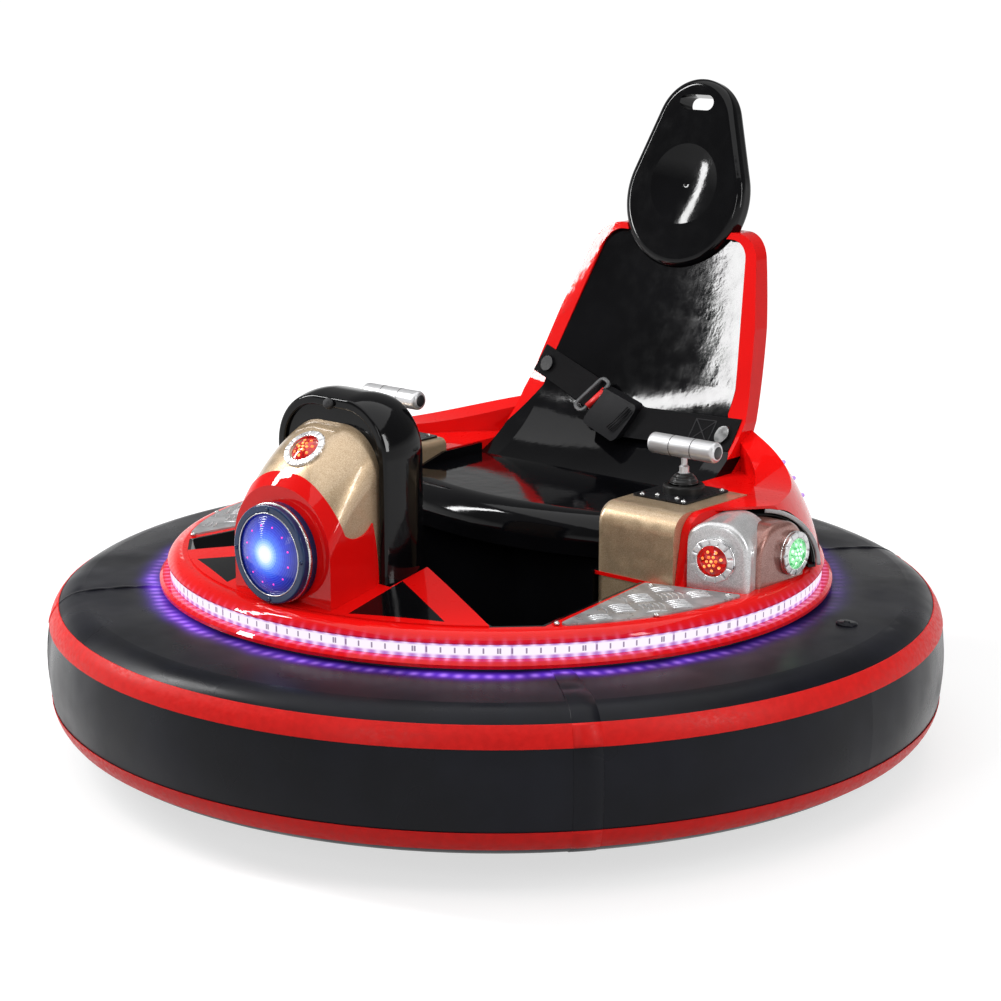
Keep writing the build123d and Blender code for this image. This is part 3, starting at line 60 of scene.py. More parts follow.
# Camera, worked out from the photograph's ring and levers
CAMERA_TURN = 41.0
CAMERA_RISE = 13.75
CAMERA_DISTANCE = 4.0
CAMERA_TARGET = (0.0, 0.0, 0.4025)
CAMERA_LENS = 85.7
CAMERA_SENSOR = 36.0
CAMERA_SHIFT = 0.0045

# Places on the car that several sections share
DECK_TOP = 0.336
STRIP_MID_Z = 0.3075
STRIP_DIODES = 162
LIGHT_MID = (0.0, 0.415)  # headlight's x and z
LENS_R = 0.0637
PLATE_TOP = 0.452
HUB_MID = (0.060, 0.100)  # drive axle's y and z


# Mesh helpers


def sheet_of(points, wrap_rows=False, wrap_columns=False):
    """Vertices and quads of one grid of points with shape rows, columns, 3; a wrapped direction
    joins its last line to its first."""
    rows, columns = points.shape[:2]
    i = np.arange(rows if wrap_rows else rows - 1)[:, None]
    j = np.arange(columns if wrap_columns else columns - 1)
    down, right = (i + 1) % rows, (j + 1) % columns
    corners = [i * columns + j, down * columns + j, down * columns + right, i * columns + right]
    return points.reshape(-1, 3), np.stack(corners, axis=-1).reshape(-1, 4)


def capped(loops):
    """Closed skin over a row of closed loops, with each end drawn in to its middle."""
    ends = np.broadcast_to(loops[[0, -1]].mean(axis=1, keepdims=True), (2, *loops.shape[1:]))
    return sheet_of(np.concatenate([ends[:1], loops, ends[1:]]), wrap_columns=True)


def swept(path, across, up, section, closed=False):
    """Section of two columns carried along a path: each point is path plus column times across
    plus column times up. The ends are capped, or the path itself is closed."""
    loops = path[:, None] + section[None, :, :1] * across[:, None] + section[None, :, 1:] * up[:, None]
    return sheet_of(loops, wrap_rows=True, wrap_columns=True) if closed else capped(loops)


def turns(count):
    """Angles that part a full turn into equal steps."""
    return np.linspace(0, TAU, count, endpoint=False)


def circle(turn):
    """Points of the unit circle at an array of angles."""
    return np.stack([np.cos(turn), np.sin(turn)], axis=1)


def unit(vectors):
    """Vectors of length one."""
    return vectors / np.linalg.norm(vectors, axis=-1, keepdims=True)


def round_loop(half_across, half_up, corner, steps=4):
    """Closed rounded rectangle: four quarter circles set out to the corners."""
    turn = np.linspace(0, math.pi / 2, steps)
    quarters = []
    for k, (side, rise) in enumerate(((1, 1), (-1, 1), (-1, -1), (1, -1))):
        arc = corner * circle(turn + k * math.pi / 2)
        quarters.append(arc + (side * (half_across - corner), rise * (half_up - corner)))
    return np.concatenate(quarters)


def joined(parts):
    """Several parts as one, each later part's face numbers moved past the earlier vertices."""
    starts = np.cumsum([0] + [len(v) for v, _ in parts[:-1]])
    vertices = np.concatenate([v for v, _ in parts])
    faces = [f + start for (_, f), start in zip(parts, starts)]
    return vertices, np.concatenate(faces)


def copies(part, origins, frames):
    """One part repeated: each copy turns the vertices by its 3 by 3 frame and adds its origin. One
    frame or one origin serves all copies."""
    vertices, faces = part
    placed = np.einsum("kij,nj->kni", np.asarray(frames), vertices) + np.asarray(origins)[:, None, :]
    numbers = faces[None] + (np.arange(len(placed)) * len(vertices))[:, None, None]
    return placed.reshape(-1, 3), numbers.reshape(-1, faces.shape[1])


def frames_from(normals, up):
    """Right-handed 3 by 3 frames, columns across, up and normal, from normals and a rough up."""
    normals = unit(np.asarray(normals, float))
    across = unit(np.cross(np.asarray(up, float), normals))
    return np.stack([across, np.cross(normals, across), normals], axis=-1)


def spun(turn):
    """3 by 3 frames turned about Z by an array of angles."""
    frames = np.zeros((len(turn), 3, 3))
    frames[:, 0, 0] = frames[:, 1, 1] = np.cos(turn)
    frames[:, 1, 0] = np.sin(turn)
    frames[:, 0, 1] = -frames[:, 1, 0]
    frames[:, 2, 2] = 1
    return frames


def lathe(profile, scale=MM, steps=32):
    """Closed turned form: a profile of radius and height, times a scale, carried round the normal."""
    profile = np.array(profile) * scale
    turn = turns(steps)[:, None]
    radius, height = profile[None, :, 0], profile[None, :, 1]
    points = [radius * np.cos(turn), radius * np.sin(turn), height + 0 * turn]
    return sheet_of(np.stack(points, axis=-1), wrap_rows=True)


def ring_bar(radius, half_across, half_up, steps=48):
    """Closed ring of a rounded bar about the normal, with the bar's section at the radius."""
    out = np.column_stack([circle(turns(steps)), np.zeros(steps)])
    section = round_loop(half_across, half_up, 0.8 * min(half_across, half_up))
    return swept(radius * out, out, np.broadcast_to(UP, out.shape), section, closed=True)


def stacked(rings, half_across, half_up):
    """Ring bars about one normal, each given by radius and height in millimetres."""
    bars = [(ring_bar(r * MM, half_across, half_up), (0, 0, h * MM)) for r, h in rings]
    return joined([copies(bar, [place], UPRIGHT) for bar, place in bars])


def both_hands(points):
    """Points followed by their mirror images in the YZ plane."""
    points = np.asarray(points, float)
    return np.concatenate([points, points * MIRROR])


def with_mirror(part):
    """A part joined to its mirror image in the YZ plane."""
    vertices, faces = part
    return joined([part, (vertices * MIRROR, faces)])


def linked(name, data):
    """New object of the data, in the scene."""
    thing = bpy.data.objects.new(name, data)
    bpy.context.collection.objects.link(thing)
    return thing


def put(name, part, slot, material=None, body=BODY, smooth=True):
    """New piece from vertices and faces: doubles merged, normals outward, shaded, painted with its
    slot's finish or its own, and set on its body."""
    vertices, faces = part
    mesh = bpy.data.meshes.new(name)
    mesh.from_pydata(vertices.tolist(), [], faces.tolist())
    form = bmesh.new()
    form.from_mesh(mesh)
    bmesh.ops.remove_doubles(form, verts=form.verts, dist=1e-6)
    bmesh.ops.dissolve_degenerate(form, edges=form.edges, dist=1e-7)
    bmesh.ops.recalc_face_normals(form, faces=form.faces)
    form.to_mesh(mesh)
    form.free()
    mesh.polygons.foreach_set("use_smooth", np.full(len(mesh.polygons), smooth))
    mesh.materials.append(material or finishes[slot])
    piece = linked(name, mesh)
    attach(piece, body)


def node_points(node):
    """Vertices of a CAD node as an array."""
    mesh = nodes[node].data
    points = np.empty(3 * len(mesh.vertices))
    mesh.vertices.foreach_get("co", points)
    return points.reshape(-1, 3)


# Material helpers

COAT_IOR = 1.36
COUNT_SHIFT = 1000.0  # keeps a running count positive before its fraction is taken
MIX_FIRST, MIX_SECOND, MIX_RESULT = 6, 7, 2  # colour sockets of a Mix node


def fill(socket, value):
    """Gives an input its value: links an output, or sets a number or a colour."""
    if isinstance(value, bpy.types.NodeSocket):
        socket.id_data.links.new(value, socket)
    else:
        socket.default_value = (*value, 1) if socket.type == "RGBA" else value


def new_node(tree, kind, inputs=(), **settings):
    """New shader node with its settings, and with inputs filled by name or number."""
    node = tree.nodes.new(f"ShaderNode{kind}")
    for key, value in settings.items():
        setattr(node, key, value)
    for key, value in dict(inputs).items():
        fill(node.inputs[key], value)
    return node


class Finish:
    """A procedural material on Object coordinates, built up by small steps."""

    def __init__(self, name, colour, roughness, metallic=0.0, coat=0.0, coat_roughness=0.03, ior=1.45):
        self.material = bpy.data.materials.new(name)
        self.material.use_nodes = True
        self.tree = self.material.node_tree
        self.shader = self.tree.nodes["Principled BSDF"]
        self.place = self.add("TexCoord").outputs["Object"]
        self.colour = colour
        self.roughness = roughness
        self.feed(colour, "Base Color").feed(roughness, "Roughness").feed(metallic, "Metallic")
        self.feed(ior, "IOR").feed(coat, "Coat Weight").feed(coat_roughness, "Coat Roughness")
        self.feed(COAT_IOR, "Coat IOR")

    def add(self, kind, inputs=(), **settings):
        """New node in this material."""
        return new_node(self.tree, kind, inputs, **settings)

    def feed(self, value, key):
        """Fills one of the shader's inputs."""
        fill(self.shader.inputs[key], value)
        return self

    def math(self, operation, *values):
        """Output of one Math node on outputs or numbers."""
        return self.add("Math", enumerate(values), operation=operation).outputs[0]

    # Sum, difference, product and quotient of two outputs or numbers
    plus = partialmethod(math, "ADD")
    minus = partialmethod(math, "SUBTRACT")
    times = partialmethod(math, "MULTIPLY")
    over = partialmethod(math, "DIVIDE")

    def away(self, value, middle):
        """Distance of a value from a middle, without sign."""
        return self.math("ABSOLUTE", self.minus(value, middle))

    def wave(self, value, rate):
        """Sine of a value times a rate."""
        return self.math("SINE", self.times(value, rate))

    def reach(self, a, b):
        """Root of the sum of two squares."""
        return self.math("SQRT", self.plus(self.math("POWER", a, 2.0), self.math("POWER", b, 2.0)))

    def bell(self, value, middle, width):
        """Bell curve of a value: one at the middle, falling off over the width."""
        off = self.over(self.away(value, middle), width)
        return self.math("EXPONENT", self.times(self.math("POWER", off, 2.0), -1.0))

    def span(self, value, low, high, first=0.0, last=1.0):
        """Value carried smoothly from one range to another, held at its ends."""
        ends = enumerate((value, low, high, first, last))
        return self.add("MapRange", ends, interpolation_type="SMOOTHSTEP").outputs[0]

    def noise(self, scale, detail=3.0, stretch=None):
        """Noise between 0 and 1 at so many cells a metre, optionally stretched."""
        place = self.place
        if stretch:
            place = self.add("Mapping", {"Vector": place, "Scale": stretch}).outputs[0]
        return self.add("TexNoise", {"Vector": place, "Scale": scale, "Detail": detail}).outputs["Fac"]

    def cells(self, scale):
        """Random number between 0 and 1 for each cell, at so many cells a metre."""
        cells = self.add("TexVoronoi", {"Vector": self.place, "Scale": scale})
        return self.add("SeparateColor", {0: cells.outputs["Color"]}).outputs[0]

    def ramp(self, value, stops):
        """Colour ramp of a value; each stop is a position and a colour."""
        node = self.add("ValToRGB", {"Fac": value})
        band = node.color_ramp
        while len(band.elements) < len(stops):
            band.elements.new(0.5)
        for element, (position, colour) in zip(band.elements, stops):
            element.position = position
            element.color = (*colour, 1)
        return node.outputs["Color"]

    def mix(self, share, first, second, blend="MIX"):
        """Colour between two colours or outputs by a share, or their blend."""
        inputs = {0: share, MIX_FIRST: first, MIX_SECOND: second}
        return self.add("Mix", inputs, data_type="RGBA", blend_type=blend).outputs[MIX_RESULT]

    def paint(self, colour):
        """Base colour from an output."""
        return self.feed(colour, "Base Color")

    def mottle(self, scale, share):
        """Colour varies by a share up and down with noise."""
        low = tuple(c * (1 - share) for c in self.colour)
        high = tuple(min(1.0, c * (1 + share)) for c in self.colour)
        return self.paint(self.ramp(self.noise(scale), [(0.35, low), (0.65, high)]))

    def wear(self, scale, share):
        """Roughness varies by a share up and down with noise."""
        low, high = self.roughness * (1 - share), min(1.0, self.roughness * (1 + share))
        return self.feed(self.span(self.noise(scale), 0.3, 0.7, low, high), "Roughness")

    def bump(self, height, depth, coat=False):
        """Bump from a height between 0 and 1, with its depth in metres."""
        inputs = {"Strength": 1.0, "Distance": depth, "Height": height}
        normal = self.add("Bump", inputs).outputs["Normal"]
        if coat:
            self.feed(normal, "Coat Normal")
        return self.feed(normal, "Normal")

    def axes(self):
        """X, Y and Z of the place as three outputs."""
        return tuple(self.add("SeparateXYZ", {0: self.place}).outputs)

    def diode_cell(self):
        """Place within one diode's share of the ring, from 0 to 1, and the running count of shares."""
        x, y, _ = self.axes()
        count = self.times(self.math("ARCTAN2", y, x), STRIP_DIODES / TAU)
        return self.math("FRACT", self.plus(count, COUNT_SHIFT)), count

    def glow(self, colour, strength=1.0):
        """Emission of a colour at a strength, each fixed or an output."""
        return self.feed(colour, "Emission Color").feed(strength, "Emission Strength")


# Finishes

DIODE_AT = 0.56  # a diode's place in its share of the ring
DECK_EDGE_R = 0.550  # radius where the strip's reflection is painted on the deck
# Colours of the strip's painted reflection on the deck: a faint haze and a spot at each diode
DECK_PAINTED_HAZE = (0.07, 0.015, 0.16)
DECK_PAINTED_SPOT = (0.55, 0.36, 0.72)
TUBE_PAINTED_SPOT_R = 0.576  # radius where the strip's reflection is painted on the tube
TUBE_PAINTED_BAND_R = 0.575
# Colours of the strip's painted reflection on the tube: a spot at each diode and a violet band
TUBE_PAINTED_SPOT = (0.40, 0.20, 0.62)
TUBE_PAINTED_BAND = (0.120, 0.026, 0.62)
STRIP_HEART = (0.94, 0.88, 0.96)
STRIP_EDGE = (0.42, 0.16, 0.58)
STRIP_SPOT = (0.86, 0.66, 0.95)
STRIP_JOINT = (0.40, 0.20, 0.52)
STRIP_TICK = (0.13, 0.08, 0.18)
JOINT_EVERY = 6.0  # diodes
LENS_RINGS = 118.0
LENS_RAYS = 26.0
LENS_STOPS = [
    (0.0, WHITE),
    (0.17, (0.90, 0.97, 1.0)),
    (0.27, (0.36, 0.66, 1.0)),
    (0.40, (0.060, 0.20, 1.0)),
    (0.62, (0.012, 0.036, 0.62)),
    (0.86, (0.004, 0.012, 0.26)),
    (1.0, (0.002, 0.006, 0.11)),
]
BELLOWS_TOP = (0.4835, 0.4845)  # heights between which rubber gives way to the lever's rod
PLEAT_RATE = 1150.0
WARP_RATE, WEFT_RATE = 3400.0, 2600.0
TYRE_RIBS = 44.0


def gel_coat(name, colour):
    """Glossy moulded shell with a faint orange peel. Beside the light strip each diode's reflection
    is painted as a glowing lilac spot in a faint band, by radius, height and share of a turn."""
    look = Finish(name, colour, 0.35, coat=0.75, coat_roughness=0.02, ior=1.05)
    look.mottle(7.0, 0.04)
    look.wear(90.0, 0.25)
    look.bump(look.noise(60.0, 2.0), 0.00004, coat=True)
    x, y, z = look.axes()
    share, _ = look.diode_cell()
    # Painted reflection of the strip: glow in a faint band and a lilac spot at each diode
    near = look.times(look.bell(look.reach(x, y), DECK_EDGE_R, 0.007), look.bell(z, STRIP_MID_Z, 0.016))
    near = look.times(near, look.span(z, 0.300, 0.318, 1.0, 0.35))
    spot = look.times(near, look.bell(share, DIODE_AT, 0.17))
    lights = look.mix(near, BLACK, DECK_PAINTED_HAZE), look.mix(spot, BLACK, DECK_PAINTED_SPOT)
    return look.glow(look.mix(1.0, *lights, "ADD")).material


def gloss_black(name):
    """Gloss black moulding with slow waves under an orange peel, which make reflections ragged."""
    look = Finish(name, (0.0026, 0.0026, 0.0032), 0.07, ior=1.29)
    look.mottle(8.0, 0.25)
    look.wear(35.0, 0.35)
    waves = look.times(look.noise(26.0), 6.0)
    return look.bump(look.plus(waves, look.noise(170.0, 2.0)), 0.00004).material


def flake_paint(name, colour, flake):
    """Metallic paint: fine flakes of a lighter tone under a clear coat, with slow clouds."""
    look = Finish(name, colour, 0.36, metallic=0.55, coat=0.9, coat_roughness=0.04)
    tone = look.ramp(look.cells(1500.0), [(0.25, colour), (1.0, flake)])
    cloud = look.ramp(look.noise(5.0), [(0.3, (0.90, 0.90, 0.90)), (0.7, WHITE)])
    look.paint(look.mix(1.0, tone, cloud, "MULTIPLY"))
    look.wear(60.0, 0.2)
    return look.bump(look.noise(120.0, 2.0), 0.00005, coat=True).material


def tube_rubber():
    """Heavy coated fabric of the ring: satin blue-black with a fine grain and slow waves. The
    strip's diodes are painted beside the deck as a glowing reflection: a row of lilac spots in a
    violet band, by radius and by share of a turn, patchy and weaker towards the back."""
    look = Finish("ring_rubber", (0.0052, 0.0056, 0.0090), 0.34, ior=1.24)
    look.mottle(9.0, 0.28)
    look.wear(6.0, 0.30)
    grain = look.times(look.noise(900.0, 2.0), 0.04)
    waves = look.plus(look.noise(4.5, 2.0), look.times(look.noise(22.0, 2.0), 0.10))
    look.bump(look.plus(grain, waves), 0.0016)
    x, y, z = look.axes()
    radius = look.reach(x, y)
    share, _ = look.diode_cell()
    upper = look.span(z, 0.245, 0.262)
    patchy = look.span(look.noise(9.0, 2.0), 0.3, 0.7, 0.35, 1.0)
    rearward = look.over(y, look.math("MAXIMUM", radius, 0.1))
    painted_glow_share = look.times(look.times(upper, patchy), look.span(rearward, -0.55, 0.25, 1.0, 0.20))
    wander = look.plus(radius, look.span(look.noise(7.0, 2.0), 0.3, 0.7, -0.004, 0.004))
    # Painted reflection of the strip on the tube: lilac spots in a violet band, given as glow
    spot = look.times(look.bell(share, 0.5, 0.27), look.bell(wander, TUBE_PAINTED_SPOT_R, 0.0085))
    spot, band = look.times(spot, painted_glow_share), look.times(look.bell(wander, TUBE_PAINTED_BAND_R, 0.017), painted_glow_share)
    lights = look.mix(spot, BLACK, TUBE_PAINTED_SPOT), look.mix(band, BLACK, TUBE_PAINTED_BAND)
    return look.glow(look.mix(1.0, *lights, "ADD")).material


def strip_light():
    """Light strip: white band with lilac edges and a spot at each diode, a dark tick between
    diodes, a second tick near each joint, and a joint line every sixth diode."""
    look = Finish("strip_clear", (0.10, 0.08, 0.12), 0.3)
    share, count = look.diode_cell()
    _, _, z = look.axes()
    off = look.away(z, STRIP_MID_Z + 0.001)
    edge = look.mix(look.bell(share, DIODE_AT, 0.26), STRIP_EDGE, STRIP_SPOT)
    band = look.mix(look.span(off, 0.0088, 0.0050), edge, STRIP_HEART)
    piece = look.math("FRACT", look.plus(look.over(count, JOINT_EVERY), COUNT_SHIFT))
    tick = look.span(look.away(share, 0.08), 0.080, 0.045)
    second = look.span(look.away(piece, 0.375), 0.014, 0.008)
    joint = look.span(look.away(piece, 0.51), 0.020, 0.010)
    mark = look.times(look.math("MAXIMUM", tick, second), look.span(off, 0.0048, 0.0036))
    tone = look.mix(look.times(joint, 0.55), band, STRIP_JOINT)
    tone = look.mix(look.times(mark, 0.85), tone, STRIP_TICK)
    look.bump(look.noise(300.0), 0.0001)
    return look.glow(tone).material


def headlight_glass():
    """Headlight lens: a white heart fading through bright blue to deep blue at the rim, with fine
    rings and soft rays, by radius and turn round the lens's middle."""
    look = Finish("headlight_glass", (0.006, 0.012, 0.16), 0.10, coat=1.0)
    x, _, z = look.axes()
    rise = look.minus(z, LIGHT_MID[1] + 0.002)
    radius = look.over(look.reach(x, rise), LENS_R)
    rings = look.wave(radius, LENS_RINGS)
    rays = look.wave(look.math("ARCTAN2", rise, x), LENS_RAYS)
    ripple = look.plus(look.times(rings, 0.018), look.times(rays, 0.012))
    look.bump(rings, 0.0002)
    return look.glow(look.ramp(look.plus(radius, ripple), LENS_STOPS)).material


def crystal_lens(name, colour, dark, bright):
    """Lamp lens of many small facets, each glowing in a tone between dark and bright."""
    look = Finish(name, colour, 0.10, coat=1.0)
    facets = look.cells(230.0)
    look.glow(look.ramp(facets, [(0.15, dark), (0.85, bright)]))
    return look.bump(facets, 0.0008).material


def diode(name, colour, dark, bright):
    """Glowing diode whose tone runs from dark to bright from cell to cell."""
    look = Finish(name, colour, 0.3).mottle(300.0, 0.1)
    return look.glow(look.ramp(look.cells(160.0), [(0.2, dark), (0.8, bright)])).material


def lever_metal():
    """Lever: rubber bellows low down, bright rod above it and a brushed grip on top, by height."""
    look = Finish("lever_metal", (0.60, 0.60, 0.61), 0.25, metallic=1.0)
    _, _, z = look.axes()
    metal = look.span(z, *BELLOWS_TOP)
    streaks = look.noise(420.0, 2.0, (0.05, 1, 1))
    tone = look.ramp(streaks, [(0.3, (0.56, 0.56, 0.57)), (0.7, (0.66, 0.66, 0.67))])
    look.paint(look.mix(metal, (0.006, 0.006, 0.0065), tone))
    look.feed(look.times(metal, 0.62), "Metallic")
    look.feed(look.span(streaks, 0.3, 0.7, 0.30, 0.42), "Roughness")
    folds = look.times(look.times(look.wave(z, PLEAT_RATE), look.minus(1.0, metal)), 12.0)
    return look.bump(look.plus(folds, streaks), 0.00004).material


def tread_metal():
    """Aluminium tread plate: satin with scuffs and a few dull clouds."""
    look = Finish("tread_metal", (0.36, 0.36, 0.365), 0.38, metallic=0.45)
    look.mottle(30.0, 0.22)
    look.wear(55.0, 0.35)
    return look.bump(look.noise(500.0, 4.0), 0.00006).material


def webbing():
    """Woven strap: crossed fine ribs in the plane of the seat back, with painted shade between them."""
    look = Finish("webbing", (0.010, 0.010, 0.011), 0.62, ior=1.16)
    x, _, z = look.axes()
    weave = look.times(look.wave(look.plus(x, z), WARP_RATE), look.wave(look.minus(x, z), WEFT_RATE))
    height = look.math("MULTIPLY_ADD", weave, 0.5, 0.5)
    # Painted shade: the colour darkens from the tops of the ribs into the hollows between them
    look.paint(look.ramp(height, [(0.2, (0.003, 0.003, 0.0035)), (0.9, (0.013, 0.013, 0.014))]))
    return look.bump(weave, 0.0002).material


def tyre_rubber():
    """Road rubber with a cross-ribbed tread: bump from the turn about the drive axle."""
    look = Finish("tyre_rubber", (0.018, 0.018, 0.018), 0.7)
    _, y, z = look.axes()
    turn = look.math("ARCTAN2", look.minus(z, HUB_MID[1]), look.minus(y, HUB_MID[0]))
    look.mottle(60.0, 0.25)
    return look.bump(look.wave(turn, TYRE_RIBS), 0.0015).material


def belt_bolt():
    """Anchor bolt: dark zinc on the rider's left; a black cap on the other side, by X."""
    look = Finish("anchor_bolt", (0.20, 0.20, 0.20), 0.30, metallic=1.0, ior=1.2)
    x, _, _ = look.axes()
    left = look.span(x, -0.01, 0.01)
    tone = look.ramp(look.noise(90.0), [(0.35, (0.08, 0.08, 0.08)), (0.65, (0.17, 0.17, 0.17))])
    look.paint(look.mix(left, (0.007, 0.007, 0.008), tone))
    look.feed(left, "Metallic")
    return look.bump(look.noise(300.0), 0.0001).material


def plain(name, colour, roughness, grain=300.0, depth=0.00006, share=0.15, **settings):
    """Solid finish with a fine grain in colour, roughness and bump."""
    look = Finish(name, colour, roughness, **settings)
    look.mottle(grain / 6, share)
    look.wear(grain / 3, 0.25)
    return look.bump(look.noise(grain), depth).material


finishes = {
    "tube_rubber": tube_rubber(),
    "stripe_red": plain(
        "stripe_rubber", (0.68, 0.013, 0.011), 0.42, grain=500.0, depth=0.00004, share=0.06, ior=1.25
    ),
    "body_red": gel_coat("shell_red", (0.74, 0.0045, 0.0040)),
    "body_black": gloss_black("shell_black"),
    "gold_paint": flake_paint("champagne_paint", (0.44, 0.305, 0.175), (0.68, 0.53, 0.36)),
    "silver_paint": flake_paint("silver_paint", (0.50, 0.50, 0.50), (0.88, 0.88, 0.89)),
    "copper_paint": flake_paint("rose_brown_paint", (0.25, 0.095, 0.075), (0.46, 0.24, 0.20)),
    "chrome_bezel": plain(
        "lamp_chrome", (0.80, 0.80, 0.81), 0.07, metallic=1.0, share=0.05, depth=0.00001
    ),
    "lens_red": crystal_lens("lamp_red", (0.30, 0.0, 0.0), (0.07, 0.0, 0.0), (0.46, 0.006, 0.004)),
    "lens_green": crystal_lens(
        "lamp_green", (0.02, 0.22, 0.06), (0.06, 0.42, 0.13), (0.46, 0.95, 0.55)
    ),
    "strip_light": strip_light(),
    "headlight_blue": plain("headlight_rim", (0.005, 0.026, 0.095), 0.22, coat=0.5, depth=0.00002, ior=1.3),
    "headlight_glass": headlight_glass(),
    "tread_plate": tread_metal(),
    "frame_steel": plain("frame_paint", (0.020, 0.020, 0.022), 0.45),
    "bright_steel": plain("zinc_steel", (0.58, 0.58, 0.57), 0.26, metallic=1.0),
    "motor_paint": plain("motor_paint", (0.035, 0.036, 0.040), 0.42),
    "battery_case": plain("battery_case", (0.03, 0.03, 0.03), 0.6),
    "drive_tyre": tyre_rubber(),
    "drive_rim": plain("rim_metal", (0.55, 0.55, 0.56), 0.38, metallic=1.0),
    "caster_tread": plain("caster_rubber", (0.07, 0.07, 0.075), 0.5),
    "liner_black": gloss_black("liner_black"),
    "boot_rubber": plain("boot_rubber", (0.005, 0.005, 0.005), 0.42, ior=1.35),
    "plate_black": plain("plate_black", (0.006, 0.006, 0.007), 0.34, ior=1.35),
    "lever_black": lever_metal(),
    "webbing": webbing(),
    "buckle_black": plain(
        "buckle_black", (0.005, 0.005, 0.006), 0.46, grain=1800.0, depth=0.00003, ior=1.20
    ),
}
for subpart in frame["record"]["subparts"]:
    node = subpart["node"]
    mesh = nodes[node].data
    mesh.materials.clear()
    mesh.materials.append(belt_bolt() if node == "belt_bolts" else finishes[subpart["material_slot"]])


# Ring: patch, seams, stripe laps and valve

RING_MID = (0.6175, 0.165)  # middle of the tube's section: radius and height
RING_OUTER = 0.75
RING_SEAMS = (-129.5, 55.0, 145.0)  # degrees from the rider's left towards the back
RING_PATCH = -39.0
# Section angles where bands start and end, from facing outwards to facing up
PATCH_ANGLES = (-1.75, 2.3)
SEAM_ANGLES = (-2.6, 2.3)
SEAM_LAP_ANGLES = np.array([0.455, 0.685])
PATCH_LAP_ANGLES = np.array([0.453, 0.690])
# Half width and thickness of each kind of band
PATCH_SIZE = (0.022, 0.0009)
SEAM_SIZE = (0.004, 0.0008)
SEAM_LAP_SIZE = (0.012, 0.0027)
PATCH_LAP_SIZE = (0.0225, 0.0026)
LAP_STEPS = 10
BAND_SUNK = 0.0015
BAND_CROWN = 1.08
VALVE_ANGLE = 1.46
VALVE_TURN = math.radians(11.5)
VALVE_NORMAL = (0.05, 0.01, 1)
VALVE_PROFILE = [(0, 3.4), (3.6, 3.4), (5, 2.6), (5.6, 1.2), (15, 0.9), (17, 0.2), (17, -2), (0, -2)]


def ring_section():
    """Ring tube's section as reach from its middle by angle, read from its mesh in the XZ plane."""
    points = node_points("bumper_tube")
    cut = points[(np.abs(points[:, 1]) < 1e-5) & (points[:, 0] > 0)]
    across, rise = cut[:, 0] - RING_MID[0], cut[:, 2] - RING_MID[1]
    angle = np.arctan2(rise, across)
    order = np.argsort(angle)
    return angle[order], np.hypot(across, rise)[order]


SECTION = ring_section()


def ring_skin(angle, turn, lift):
    """Points on the ring: reach at an angle of the section plus a lift, carried round by a turn."""
    reach = np.interp(angle, *SECTION, period=TAU) + lift
    radius = RING_MID[0] + reach * np.cos(angle)
    height = RING_MID[1] + reach * np.sin(angle) + 0 * turn
    return np.stack([radius * np.cos(turn), radius * np.sin(turn), height], axis=-1)


def ring_band(turn, size, angles, steps=90):
    """Band across the ring at a turn: a flat bead of a size, from one section angle to another."""
    half, thick = size
    shoulder = half - 0.8 * BAND_SUNK
    side = np.array([-half, -shoulder, 0.0, shoulder, half, half, -half])
    edge = -BAND_SUNK / 3
    lift = np.array([edge, thick, BAND_CROWN * thick, thick, edge, -BAND_SUNK, -BAND_SUNK])
    angle = np.linspace(*angles, steps)[:, None]
    return capped(ring_skin(angle, math.radians(turn) + side[None, :] / RING_OUTER, lift[None, :]))


def lap_pair(turn, size, angles):
    """Laps at a turn on the lower and the upper stripe."""
    return [ring_band(turn, size, side * angles, LAP_STEPS) for side in (-1, 1)]


put("ring_patch", ring_band(RING_PATCH, PATCH_SIZE, PATCH_ANGLES), "tube_rubber")
seams = [ring_band(turn, SEAM_SIZE, SEAM_ANGLES) for turn in RING_SEAMS]
put("ring_seam_beads", joined(seams), "tube_rubber")
laps = [lap for turn in RING_SEAMS for lap in lap_pair(turn, SEAM_LAP_SIZE, SEAM_LAP_ANGLES)]
laps += lap_pair(RING_PATCH, PATCH_LAP_SIZE, PATCH_LAP_ANGLES)
put("stripe_laps", joined(laps), "stripe_red")
valve_seat = ring_skin(np.array([VALVE_ANGLE]), np.array([VALVE_TURN]), np.array([0.0]))
valve = copies(lathe(VALVE_PROFILE), valve_seat, frames_from([VALVE_NORMAL], BACKWARD))
put("ring_valve", valve, "tube_rubber")


# Lamps: teeth, rims and diodes on the nose and the pods

RED_LAMPS = 3
LAMP_RING = 0.035
LAMP_RIM = 0.010
LAMP_DOME = 0.008
LAMP_EDGE = 0.006
LAMP_UP = (0, 0.3, 1)
NOSE_SLOPE = 79 / 98
NOSE_LAMP = (0, -0.440, DECK_TOP + 0.177 + 0.058 * NOSE_SLOPE)
FRONT_POD = (0.463, -0.015, DECK_TOP)
FRONT_POD_TURN = math.radians(15)
FRONT_LAMP_SHIFT = -0.001  # along the pod's face
FRONT_LAMP_RISE = 0.049
SIDE_LAMP = (0.514, 0.121, DECK_TOP + 0.042)
TEETH = 12
TOOTH_RADII = (25.6, 26.4, 33.6, 34.4)
TOOTH_TOPS = (11.4, 11.8, 10.9, 10.2)
TOOTH_BEVEL = 0.7 * MM
TOOTH_FOOT = 8.0 * MM
TOOTH_HALF = math.radians(14.0)
RIM_RINGS = ((25.4, 10), (35, 3))
RIM_HALVES = (0.8 * MM, 1.4 * MM)
DIODE_SIZE = 0.0027
DIODE_RINGS = ((6, 0.0075), (7, 0.0155))  # count and radius
DIODE_TWIST = 20  # turn of a ring of diodes for each metre of its radius
DIODE_PROFILE = [(0, 0.55), (0.5, 0.45), (0.85, 0.2), (1, -0.3), (0, -0.3)]


